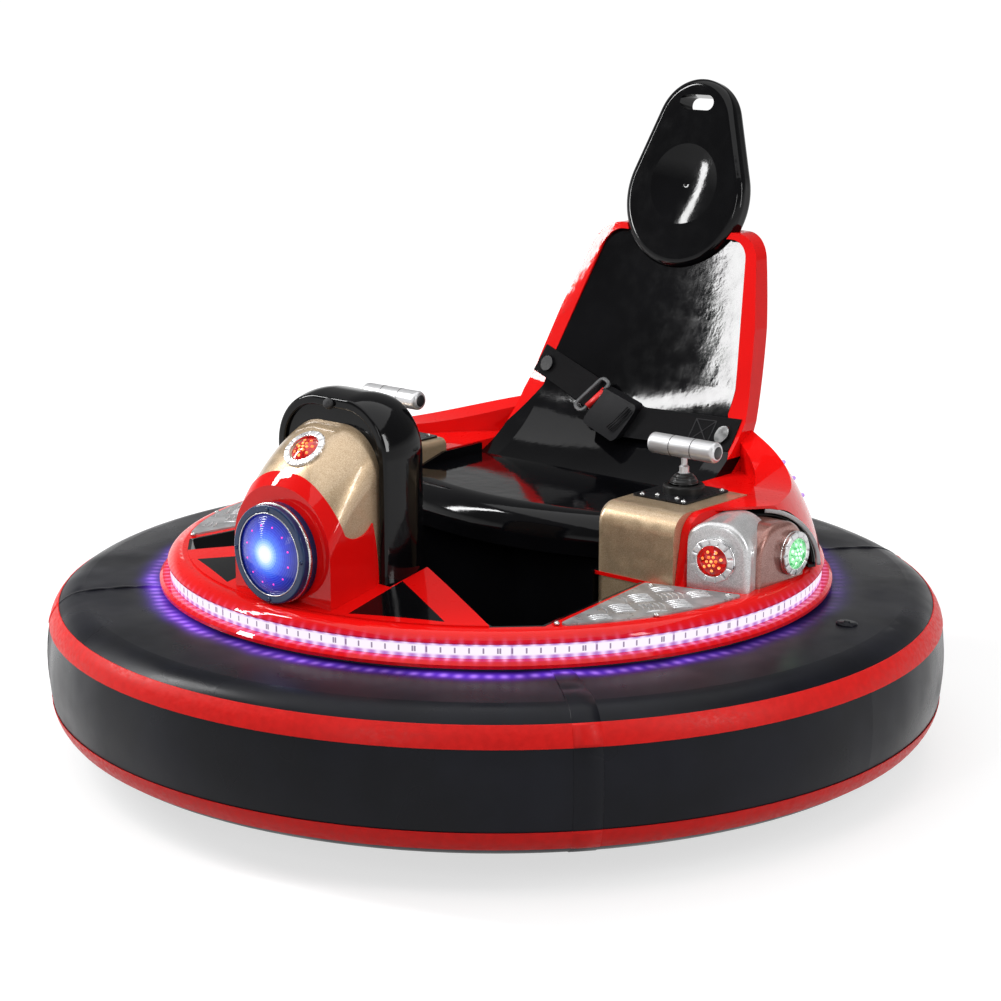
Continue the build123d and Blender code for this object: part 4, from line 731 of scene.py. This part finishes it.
def lamp_places():
    """Origins and normals of the lamps: red on the nose and front pods, then green on the side pods."""
    cos, sin = math.cos(FRONT_POD_TURN), math.sin(FRONT_POD_TURN)
    front = np.array(FRONT_POD) + (FRONT_LAMP_SHIFT * cos, FRONT_LAMP_SHIFT * sin, FRONT_LAMP_RISE)
    origins = [NOSE_LAMP, *both_hands([front]), *both_hands([SIDE_LAMP])]
    normals = [(0, -NOSE_SLOPE, 1), *both_hands([(sin, -cos, 0)]), *both_hands([LEFTWARD])]
    return np.array(origins), np.array(normals)


def lamp_teeth():
    """Cut-glass teeth round a bezel: wedges that widen with the radius, higher at their middle."""
    radius = np.array(TOOTH_RADII)[:, None] * MM
    top = np.array(TOOTH_TOPS)[:, None] * MM
    half = radius * TOOTH_HALF
    ridge = np.concatenate([-half, -0.6 * half, 0.6 * half, half, half, -half], axis=1)
    low = np.full_like(radius, TOOTH_FOOT)
    height = np.concatenate([top - TOOTH_BEVEL, top, top, top - TOOTH_BEVEL, low, low], axis=1)
    tooth = capped(np.stack([radius + 0 * ridge, ridge, height], axis=-1))
    return copies(tooth, np.zeros((1, 3)), spun(turns(TEETH)))


def lamp_diodes():
    """Diodes under a lamp lens: one dome in the middle and two rings, set on the lens's round face."""
    ball = ((LAMP_RING - LAMP_RIM) ** 2 + LAMP_DOME**2) / (2 * LAMP_DOME)
    plan = [np.zeros((1, 2))]
    for count, radius in DIODE_RINGS:
        turn = turns(count) + radius * DIODE_TWIST
        plan.append(radius * circle(turn))
    plan = np.concatenate(plan)
    drop = ball - np.sqrt(ball**2 - (plan**2).sum(axis=1))
    origins = np.column_stack([plan, LAMP_EDGE + LAMP_DOME - drop])
    normals = np.column_stack([plan / ball, np.ones(len(plan))])
    return copies(lathe(DIODE_PROFILE, DIODE_SIZE, 10), origins, frames_from(normals, BACKWARD))


lamp_origins, lamp_normals = lamp_places()
lamp_frames = frames_from(lamp_normals, LAMP_UP)
crystal = plain("bezel_crystal", (0.70, 0.70, 0.71), 0.34, metallic=0.8, share=0.04, depth=0.00001)
teeth = copies(lamp_teeth(), lamp_origins, lamp_frames)
put("lamp_teeth", teeth, "chrome_bezel", crystal, smooth=False)
rims = copies(stacked(RIM_RINGS, *RIM_HALVES), lamp_origins, lamp_frames)
put("lamp_rims", rims, "chrome_bezel")
amber = diode("diode_amber", (0.9, 0.3, 0.05), (0.95, 0.10, 0.02), (1.0, 0.52, 0.16))
mint = diode("diode_mint", (0.5, 0.9, 0.6), (0.42, 1.0, 0.55), (0.92, 1.0, 0.94))
red_diodes = copies(lamp_diodes(), lamp_origins[:RED_LAMPS], lamp_frames[:RED_LAMPS])
green_diodes = copies(lamp_diodes(), lamp_origins[RED_LAMPS:], lamp_frames[RED_LAMPS:])
put("lamp_diodes_red", red_diodes, "lens_red", amber)
put("lamp_diodes_green", green_diodes, "lens_green", mint)


# Headlight: diodes and edge rings

LIGHT_FACE_Y = -0.526
LENS_DOME = 0.012
LENS_EDGE_Y = -0.522
LENS_BALL = (LENS_R**2 + LENS_DOME**2) / (2 * LENS_DOME)
SPOTS = 12
SPOT_RING = 0.72 * LENS_R
SPOT_PROFILE = [(0, 0.9), (0.9, 0.75), (1.5, 0.3), (1.7, -0.8), (0, -0.8)]
# Radius, half width and half depth in millimetres, and metres behind the face
EDGE_RINGS = ((76.5, 2.2, 3.2, 0.014), (64.2, 0.9, 1.2, 0.001))
EDGE_STEPS = 72


def on_lens(radius, turn):
    """Points and normals on the headlight lens at a radius and a turn round its middle."""
    out = np.stack([np.cos(turn), 0 * turn, np.sin(turn)], axis=1)
    drop = LENS_BALL - math.sqrt(LENS_BALL**2 - radius**2)
    middle = np.array([LIGHT_MID[0], LENS_EDGE_Y - LENS_DOME + drop, LIGHT_MID[1]])
    return middle + radius * out, radius / LENS_BALL * out + FORWARD


def edge_ring(radius, half, deep, behind):
    """Bright ring about the headlight's axis."""
    bar = ring_bar(radius * MM, half * MM, deep * MM, EDGE_STEPS)
    return copies(bar, [(LIGHT_MID[0], LIGHT_FACE_Y + behind, LIGHT_MID[1])], frames_from([FORWARD], UP))


magenta = Finish("diode_magenta", (0.9, 0.05, 0.5), 0.3).mottle(300.0, 0.1).glow((1.0, 0.06, 0.42))
spots, spot_normals = on_lens(SPOT_RING, turns(SPOTS) + TAU / (2 * SPOTS))
spots = copies(lathe(SPOT_PROFILE, steps=12), spots, frames_from(spot_normals, UP))
put("headlight_diodes", spots, "headlight_glass", magenta.material)
edge = joined([edge_ring(*ring) for ring in EDGE_RINGS])
put("headlight_edge", edge, "bright_steel")


# Screws

SCREW_PROFILE = [
    (0, 0.18), (0.34, 0.18), (0.40, 0.62), (0.62, 0.60),
    (0.86, 0.42), (1.0, 0.10), (1.0, -0.4), (0, -0.4),
]
SCREW_UP = (0, 1, 0.2)  # for screws that stand upright
RIM_SCREW_RING = 0.0705
RIM_SCREW_TURNS = (90.0, 180.0, 0.0, 270.0)
PLATE_SCREWS = (
    (0.281, 0.036), (0.363, 0.036), (0.363, 0.140), (0.281, 0.140), (0.303, 0.047), (0.342, 0.047),
)
STEP_TOP = 0.339
STEP_SCREWS = ((0.399, -0.322), (0.378, -0.066), (0.503, -0.034), (0.484, -0.190))


def screws(name, radius, places, normal, slot="bright_steel", body=BODY):
    """Button screws of one size at places along one normal: domed heads with a round driver hole."""
    head = lathe(SCREW_PROFILE, radius, 20)
    turned = frames_from([normal], SCREW_UP if normal == UP else UP)
    put(name, copies(head, places, turned), slot, body=body)


rim = RIM_SCREW_RING * circle(np.radians(RIM_SCREW_TURNS)) + LIGHT_MID
screws("headlight_screws", 3.6 * MM, np.insert(rim, 1, LIGHT_FACE_Y, axis=1), FORWARD, "headlight_blue")
screws("plate_screws", 4.2 * MM, both_hands([(x, y, PLATE_TOP) for x, y in PLATE_SCREWS]), UP)
screws("step_screws", 4.6 * MM, both_hands([(x, y, STEP_TOP) for x, y in STEP_SCREWS]), UP)


# Step plates: raised bars in groups of five, each group across its neighbours

BAR_CELL = 0.046
BARS = 5  # in a cell
BAR_SPREAD = 0.94  # share of the cell that its bars take up
BAR_HALF = 0.0175
BAR_WIDTH = 0.0012
BAR_HEIGHT = 0.0019
BAR_BOW = 0.0035
BAR_TILT = math.radians(-34)
BAR_ORIGIN = (0.45, -0.16)
CELLS_OUT = 9  # cells tried each way from the origin
RIM_REACH = 1.15  # of a bar's half length, where it is tried against the rim
RIM_SIDES = (-0.004, 0.007)
SCREW_CLEAR = 0.011


def inside(points, outline):
    """True where a line from a point towards +X crosses a closed outline an odd number of times."""
    (x, y), (x0, y0) = points.T[:, :, None], outline.T[:, None]
    x1, y1 = np.roll(outline, -1, axis=0).T[:, None]
    spans = (y0 > y) != (y1 > y)
    rise = np.where(y1 == y0, 1.0, y1 - y0)
    return (spans & (x < x0 + (y - y0) * (x1 - x0) / rise)).sum(axis=1) % 2 == 1


def plate_outline():
    """Rim of the left step plate's top face, followed from edge to edge, and its height."""
    points = node_points("step_plates")
    top = points[:, 2].max()
    on_top = (points[:, 2] > top - 1e-6) & (points[:, 0] > 0)
    flat = [f.vertices[:] for f in nodes["step_plates"].data.polygons if on_top[list(f.vertices)].all()]
    spot = {v: tuple(np.round(points[v, :2], 6)) for f in flat for v in f}
    sides = {(spot[a], spot[b]) for f in flat for a, b in zip(f, f[1:] + f[:1])}
    follow = {a: b for a, b in sides if (b, a) not in sides}
    rim = [min(follow)]
    while len(rim) < len(follow) and follow[rim[-1]] != rim[0]:
        rim.append(follow[rim[-1]])
    return np.array(rim), top


def tread_bar():
    """One long low bar bent to a slight bow, with x = half cos(lean), y = width sin(lean)
    cos(slope) + bow sin(lean) squared and z = height sin(lean) sin(slope)."""
    lean, slope = np.meshgrid(np.linspace(0, math.pi, 9), turns(8), indexing="ij")
    x = BAR_HALF * np.cos(lean)
    y = BAR_WIDTH * np.sin(lean) * np.cos(slope) + BAR_BOW * np.sin(lean) ** 2
    z = BAR_HEIGHT * np.sin(lean) * np.sin(slope)
    return sheet_of(np.stack([x, y, z], axis=-1), wrap_columns=True)


def step_bars():
    """Tread bars on the plates: five to a cell, turned a quarter from cell to cell, kept where the
    whole bar lies inside the plate's rim and clear of its screws."""
    outline, top = plate_outline()
    rows = np.arange(-CELLS_OUT, CELLS_OUT + 1)
    i, j, k = (a.ravel() for a in np.meshgrid(rows, rows, np.arange(BARS), indexing="ij"))
    across = (i + j) % 2 == 0
    shift = (k - (BARS - 1) / 2) * BAR_CELL / BARS * BAR_SPREAD
    x = i * BAR_CELL + np.where(across, 0, shift)
    y = j * BAR_CELL + np.where(across, shift, 0)
    plan = np.stack([x, y], axis=1) @ spun([BAR_TILT])[0, :2, :2].T + BAR_ORIGIN
    frames = spun(np.where(across, 0.0, math.pi / 2) + BAR_TILT)
    along, aside = frames[:, :2, 0], frames[:, :2, 1]
    keep = np.ones(len(plan), bool)
    for end in (-BAR_HALF, 0.0, BAR_HALF):
        for off in RIM_SIDES:
            keep &= inside(plan + RIM_REACH * end * along + off * aside, outline)
        gap = (plan + end * along)[:, None] - np.array(STEP_SCREWS)
        keep &= np.linalg.norm(gap, axis=2).min(axis=1) > SCREW_CLEAR
    origins = np.column_stack([plan, np.full(len(plan), top)])
    return with_mirror(copies(tread_bar(), origins[keep], frames[keep]))


# Painted highlight: the bars are of the plate's own aluminium but are given a lighter colour than the
# plate, so that they read as lit
bar_painted_lighter = plain("tread_bar_metal", (0.66, 0.66, 0.67), 0.30, metallic=0.6, share=0.08)
put("step_bars", step_bars(), "tread_plate", bar_painted_lighter)


# Levers: grip grooves and end caps, which tilt with the levers, and the bellows on the plates

PIVOT = (0.322, 0.092)
GRIP_Z = 0.525
GRIP_R = 0.017
GRIP_HALF = 0.066
GROOVES_AT = (-0.021, 0.021)  # along the grip
GROOVE_HALVES = (0.35 * MM, 0.7 * MM)
CAP_PROFILE = [(0, 0.9), (9.2, 0.9), (10.4, 0.2), (10.4, -1.2), (0, -1.2)]
FOLD_RINGS = ((31, 3), (29, 7.5), (27, 12))
FOLD_HALVES = (2.6 * MM, 1.9 * MM)

groove_black = plain("grip_groove", (0.05, 0.05, 0.052), 0.4, metallic=0.6)
cap_black = plain("grip_cap", (0.022, 0.022, 0.024), 0.35)
along_x = frames_from([LEFTWARD], UP)
for hand, side in HANDS:
    grip = np.array([side * PIVOT[0], PIVOT[1], GRIP_Z])
    grooves = copies(ring_bar(GRIP_R, *GROOVE_HALVES), [grip + (x, 0, 0) for x in GROOVES_AT], along_x)
    put(f"grip_grooves_{hand}", grooves, "lever_black", groove_black, f"lever_{hand}")
    caps = copies(lathe(CAP_PROFILE), [grip + (GRIP_HALF, 0, 0)], along_x)
    put(f"grip_caps_{hand}", caps, "lever_black", cap_black, f"lever_{hand}")
folds = copies(stacked(FOLD_RINGS, *FOLD_HALVES), both_hands([(*PIVOT, PLATE_TOP)]), UPRIGHT)
put("boot_folds", folds, "boot_rubber")


# Wheel arches: ribs of the liner and its pale edge

ARCH_MID = (0.432, 0.077)
ARCH_TURN = math.radians(52.8)
ARCH_HALF = 0.146
ARCH_HEIGHT = 0.108
ARCH_CORNER = 0.100
ARCH_STEPS = 40
BAR_START = 0.04  # share of the arch's line where its bars start
RIB_END, EDGE_END = 0.8, 0.62
RIB_INSET, EDGE_INSET = 0.012, 0.004
RIB_DEPTHS = (0.004, 0.016, 0.028, 0.040, 0.052)
EDGE_PROUD = 0.0055


def arch_bar(inset, proud, section, last):
    """Bar round the arch on both sides of the car, inset from its line and proud of its wall. The
    line is a quarter circle at the outer corner between a straight foot and a straight crown, from
    the outer foot to a share of its length."""
    corner = ARCH_CORNER - inset
    foot = ARCH_HEIGHT - ARCH_CORNER
    crown = 2 * (ARCH_HALF - ARCH_CORNER)
    bend_end = foot + corner * math.pi / 2
    at = np.linspace(BAR_START, last, ARCH_STEPS) * (bend_end + crown)
    bend = np.clip((at - foot) / corner, 0, math.pi / 2)
    along = crown / 2 + corner * np.cos(bend) - np.clip(at - bend_end, 0, None)
    height = np.minimum(at, foot) + corner * np.sin(bend)
    wall = np.array([(math.cos(ARCH_TURN), math.sin(ARCH_TURN), 0), UP])
    face = np.array([math.sin(ARCH_TURN), -math.cos(ARCH_TURN), 0])
    start = np.array([*ARCH_MID, DECK_TOP]) + proud * face
    path = start + np.stack([along, height], axis=1) @ wall
    return with_mirror(swept(path, np.broadcast_to(face, path.shape), circle(bend) @ wall, section))


rib = round_loop(0.0050, 0.0050, 0.0049, 5)
ribs = [arch_bar(RIB_INSET, -depth, rib, RIB_END) for depth in RIB_DEPTHS]
put("liner_ribs", joined(ribs), "liner_black")
pale = plain("arch_edge", (0.42, 0.42, 0.43), 0.35)
lip = arch_bar(EDGE_INSET, EDGE_PROUD, round_loop(0.0022, 0.0035, 0.0016), EDGE_END)
put("arch_edges", lip, "liner_black", pale)


# Seat belt: press button, tongue frame, buckle ribs and stitching

BUCKLE_HALF = 0.046
BUCKLE_FACE = 0.011
BUTTON_AT = (-BUCKLE_HALF - 0.003, 0.004)  # along the buckle and out from its middle
BUTTON_HALF = 0.022
BUTTON_SECTION = round_loop(0.0055, 0.008, 0.003)
TONGUE_AT = (-BUCKLE_HALF - 0.018, 0.006)
TONGUE_LOOP = round_loop(0.0125, 0.036, 0.009, 7)
TONGUE_SECTION = round_loop(0.0035, 0.0030, 0.0020)
BUCKLE_RIBS_AT = (0.010, 0.015, 0.020)  # from the buckle's end
BUCKLE_RIB_HALF = 0.026
BUCKLE_RIB_SECTION = round_loop(0.0012, 0.0009, 0.0006)
STITCH_BOX = ((0.150, 0.470), (0.150, 0.506), (0.192, 0.507), (0.192, 0.471))  # x and z
STITCH_RUNS = ((0, 1), (1, 2), (2, 3), (3, 0), (0, 2), (1, 3))  # corners that each run joins
STITCH_STEPS = 14
STITCH_SECTION = round_loop(0.0008, 0.0007, 0.0006, 3)
STITCH_LIFT = 0.0014  # half the webbing's thickness
STRAP_FROM_X = 0.03


def own_axes(node):
    """Middle of a CAD node and its long, middle and thin directions, by its vertices' spread."""
    points = node_points(node)
    mean = points.mean(axis=0)
    box_mid = (points.min(axis=0) + points.max(axis=0)) / 2
    _, _, axes = np.linalg.svd(points - mean, full_matrices=False)
    thin = axes[2] * -np.sign(axes[2][1])
    long = axes[0] * np.sign(axes[0][0])
    return mean * 0.5 + box_mid * 0.5, long, np.cross(thin, long), thin


buckle_mid, *buckle_axes = own_axes("belt_buckle")
buckle_out = buckle_axes[2]


def on_buckle(along, rise, lift):
    """Points in the buckle's own directions."""
    parts = zip((along, rise, lift), buckle_axes)
    return buckle_mid + sum(np.multiply.outer(part, axis) for part, axis in parts)


def buckle_bar(along, lift, half, section):
    """Straight bar across the buckle, at a place along it and out from its middle."""
    path = np.array([on_buckle(along, -half, lift), on_buckle(along, half, lift)])
    across = np.cross(unit(path[1] - path[0]), buckle_out)
    return swept(path, np.tile(across, (2, 1)), np.tile(buckle_out, (2, 1)), section)


def belt_tongue():
    """Rounded frame round the buckle's mouth: a bar carried round a closed loop in its plane."""
    along, rise = TONGUE_LOOP.T
    path = on_buckle(along + TONGUE_AT[0], rise, np.full(len(along), TONGUE_AT[1]))
    run = unit(np.roll(path, -1, axis=0) - np.roll(path, 1, axis=0))
    out = np.broadcast_to(buckle_out, path.shape)
    return swept(path, np.cross(run, buckle_out), out, TONGUE_SECTION, closed=True)


def belt_stitching():
    """Box and cross of thread on the left strap: each run lies on the strap's face, a surface y = a
    + bx + cz + dxx + exz + fzz fitted to its vertices, moved out by half the webbing's thickness."""
    strap = node_points("lap_belt")
    strap = strap[strap[:, 0] > STRAP_FROM_X]

    def terms(x, z):
        return np.stack([1 + 0 * x, x, z, x * x, x * z, z * z], axis=-1)

    fit, *_ = np.linalg.lstsq(terms(strap[:, 0], strap[:, 2]), strap[:, 1], rcond=None)
    runs = []
    for a, b in STITCH_RUNS:
        x, z = np.linspace(STITCH_BOX[a], STITCH_BOX[b], STITCH_STEPS).T
        slope_x = fit[1] + 2 * fit[3] * x + fit[4] * z
        slope_z = fit[2] + fit[4] * x + 2 * fit[5] * z
        out = unit(np.stack([slope_x, -np.ones_like(x), slope_z], axis=1))
        path = np.stack([x, terms(x, z) @ fit, z], axis=1) + STITCH_LIFT * out
        across = np.cross(unit(np.gradient(path, axis=0)), out)
        runs.append(swept(path, across, out, STITCH_SECTION))
    return joined(runs)


press_red = plain("press_red", (0.62, 0.012, 0.010), 0.35, grain=500.0)
put("buckle_button", buckle_bar(*BUTTON_AT, BUTTON_HALF, BUTTON_SECTION), "buckle_black", press_red)
grey_plastic = plain("tongue_grey", (0.075, 0.077, 0.080), 0.38)
put("belt_tongue", belt_tongue(), "buckle_black", grey_plastic)
ridges = [
    buckle_bar(BUCKLE_HALF - inset, BUCKLE_FACE, BUCKLE_RIB_HALF, BUCKLE_RIB_SECTION)
    for inset in BUCKLE_RIBS_AT
]
put("buckle_ribs", joined(ridges), "buckle_black")
thread = plain("belt_thread", (0.030, 0.030, 0.032), 0.55, grain=900.0, ior=1.3)
put("belt_stitching", belt_stitching(), "webbing", thread)


# Hood nub and marker domes on the fenders

NUB_PLACE = (0.0, -0.391, 0.628)
NUB_NORMAL = (0, -1, 0.25)
NUB_PROFILE = [(0, 9), (4, 8.6), (7, 6.5), (8.5, 3), (9, -3), (0, -3)]
FENDER_SIDE = ((0.541, 0.336), (0.514, 0.411), (0.463, 0.490))  # radius and height: foot, belly, ridge
MARKER_HEIGHTS = (0.402, 0.430, 0.455)
MARKER_TURNS = (45.0, 46.0, 47.5)
MARKER_PROFILE = [(0, 6), (2.2, 5.4), (3.8, 3.6), (4.4, 1), (7, 0.8), (7.6, 0), (7.6, -1.5), (0, -1.5)]


def marker_places():
    """Marker places and normals on the domed side of the fenders: on the circle through its foot,
    belly and ridge, at three heights."""
    side = np.array(FENDER_SIDE)
    squares = (side**2).sum(axis=1)
    heart = np.linalg.solve(side[1:] - side[0], (squares[1:] - squares[0]) / 2)
    ball = math.hypot(*(side[0] - heart))
    height = np.array(MARKER_HEIGHTS)
    lean = np.sqrt(ball**2 - (height - heart[1]) ** 2)
    out = circle(np.radians(MARKER_TURNS))
    places = np.column_stack([(heart[0] + lean)[:, None] * out, height])
    return both_hands(places), both_hands(np.column_stack([lean[:, None] * out, height - heart[1]]))


worn_black = plain("worn_black", (0.016, 0.016, 0.017), 0.6, grain=700.0, depth=0.0004, share=0.6)
nub = copies(lathe(NUB_PROFILE, steps=24), [NUB_PLACE], frames_from([NUB_NORMAL], UP))
put("hood_nub", nub, "body_black", worn_black)
marker_origins, marker_normals = marker_places()
marker = lathe(MARKER_PROFILE, steps=18)
markers = copies(marker, marker_origins, frames_from(marker_normals, UP))
violet_dome = Finish("marker_violet", (0.5, 0.35, 0.7), 0.2).mottle(200.0, 0.15)
violet_dome.glow((0.35, 0.14, 0.62), 0.6)
put("fender_markers", markers, "strip_light", violet_dome.material)


# Wheels: bolts on the drive hubs

HUB_WEB = (0.020, 0.050)  # radii between which the hub's face is flat
HUB_BOLTS = 5
HUB_BOLT_RING = 0.038

for hand, side in HANDS:
    hub = node_points(f"drive_hub_{hand}")
    reach = np.hypot(*(hub[:, 1:] - HUB_MID).T)
    web = hub[(reach > HUB_WEB[0]) & (reach < HUB_WEB[1])]
    bolts = np.empty((HUB_BOLTS, 3))
    bolts[:, 0] = side * np.abs(web[:, 0]).max()
    bolts[:, 1:] = circle(turns(HUB_BOLTS)) * HUB_BOLT_RING + HUB_MID
    screws(f"hub_bolts_{hand}", 5.0 * MM, bolts, (side, 0, 0), "bright_steel", f"drive_wheel_{hand}")


# Stage: floor, lights, world and camera

FLOOR_HALF = 60.0
FLOOR_LIFT = (0.9, 2.6, 0.66, 0.94)  # from and to these radii the floor's own light grows so
WORLD_LEVEL = 0.24
WORLD_FADE = (0.10, 0.26, 1.0, WORLD_LEVEL)  # between these heights the horizon fades so
# Name, place, aim, size and power of each light panel
PANELS = [
    ("panel_over", (0.2, -0.2, 3.2), (0, 0, 0.3), (4.0, 4.0), 78),
    ("panel_left", (-2.06, -1.31, 1.95), (0.1, 0.35, 0.6), (0.24, 1.7), 58),
    ("panel_right", (2.7, 0.1, 1.6), (0, 0, 0.45), (0.25, 1.6), 22),
    ("panel_front", (0.9, -3.4, 1.9), (0, 0, 0.4), (0.3, 1.2), 16),
]


def seen_rays(tree):
    """One for camera, glossy and transmission rays, and zero for the rest."""
    rays = new_node(tree, "LightPath").outputs
    seen = rays["Is Camera Ray"]
    for kind in ("Is Glossy Ray", "Is Transmission Ray"):
        seen = new_node(tree, "Math", {0: seen, 1: rays[kind]}, operation="MAXIMUM").outputs[0]
    return seen


def studio_floor():
    """White floor that keeps a soft shadow: rays that are seen find it lifted by its own light."""
    mesh = bpy.data.meshes.new("studio_floor")
    corners = [(x * FLOOR_HALF, y * FLOOR_HALF, 0) for x, y in ((-1, -1), (1, -1), (1, 1), (-1, 1))]
    mesh.from_pydata(corners, [], [(0, 1, 2, 3)])
    floor = linked("studio_floor", mesh)
    look = Finish("studio_floor", (0.42, 0.42, 0.42), 0.95, ior=1.05)
    look.mottle(2.0, 0.01)
    x, y, _ = look.axes()
    lift = look.span(look.reach(x, y), *FLOOR_LIFT)
    look.glow(WHITE, look.times(seen_rays(look.tree), lift))
    mesh.materials.append(look.material)


def studio_panels():
    """Light panels, each turned to its aim."""
    for name, place, aim, size, power in PANELS:
        lamp = bpy.data.lights.new(name, "AREA")
        lamp.shape = "RECTANGLE"
        lamp.size, lamp.size_y = size
        lamp.energy = power
        holder = linked(name, lamp)
        holder.location = place
        x, y, z = np.subtract(aim, place)
        holder.rotation_euler = (math.atan2(math.hypot(x, y), -z), 0, math.atan2(-x, y))


def studio_world():
    """World that lights dimly all round; rays that are seen find it white at the horizon."""
    world = bpy.data.worlds.new("studio")
    bpy.context.scene.world = world
    world.use_nodes = True
    tree = world.node_tree
    rise = new_node(tree, "SeparateXYZ", {0: new_node(tree, "TexCoord").outputs["Generated"]})
    fade = new_node(tree, "MapRange", enumerate((rise.outputs[2], *WORLD_FADE)))
    level = new_node(tree, "Mix", {0: seen_rays(tree), 2: WORLD_LEVEL, 3: fade.outputs[0]})
    background = tree.nodes["Background"]
    fill(background.inputs["Color"], WHITE)
    fill(background.inputs["Strength"], level.outputs[0])


def photo_camera():
    """Camera at the photograph's angle, shifted a little sideways."""
    turn, rise = math.radians(CAMERA_TURN), math.radians(CAMERA_RISE)
    lens = bpy.data.cameras.new("photo_camera")
    lens.lens = CAMERA_LENS
    lens.sensor_width = CAMERA_SENSOR
    lens.shift_x = CAMERA_SHIFT
    camera = linked("photo_camera", lens)
    level = math.cos(rise)
    back = np.array([math.sin(turn) * level, -math.cos(turn) * level, math.sin(rise)])
    camera.location = np.array(CAMERA_TARGET) + CAMERA_DISTANCE * back
    camera.rotation_euler = (math.pi / 2 - rise, 0, turn)
    bpy.context.scene.camera = camera


studio_floor()
studio_panels()
studio_world()
photo_camera()
bpy.context.scene.view_settings.view_transform = "Standard"
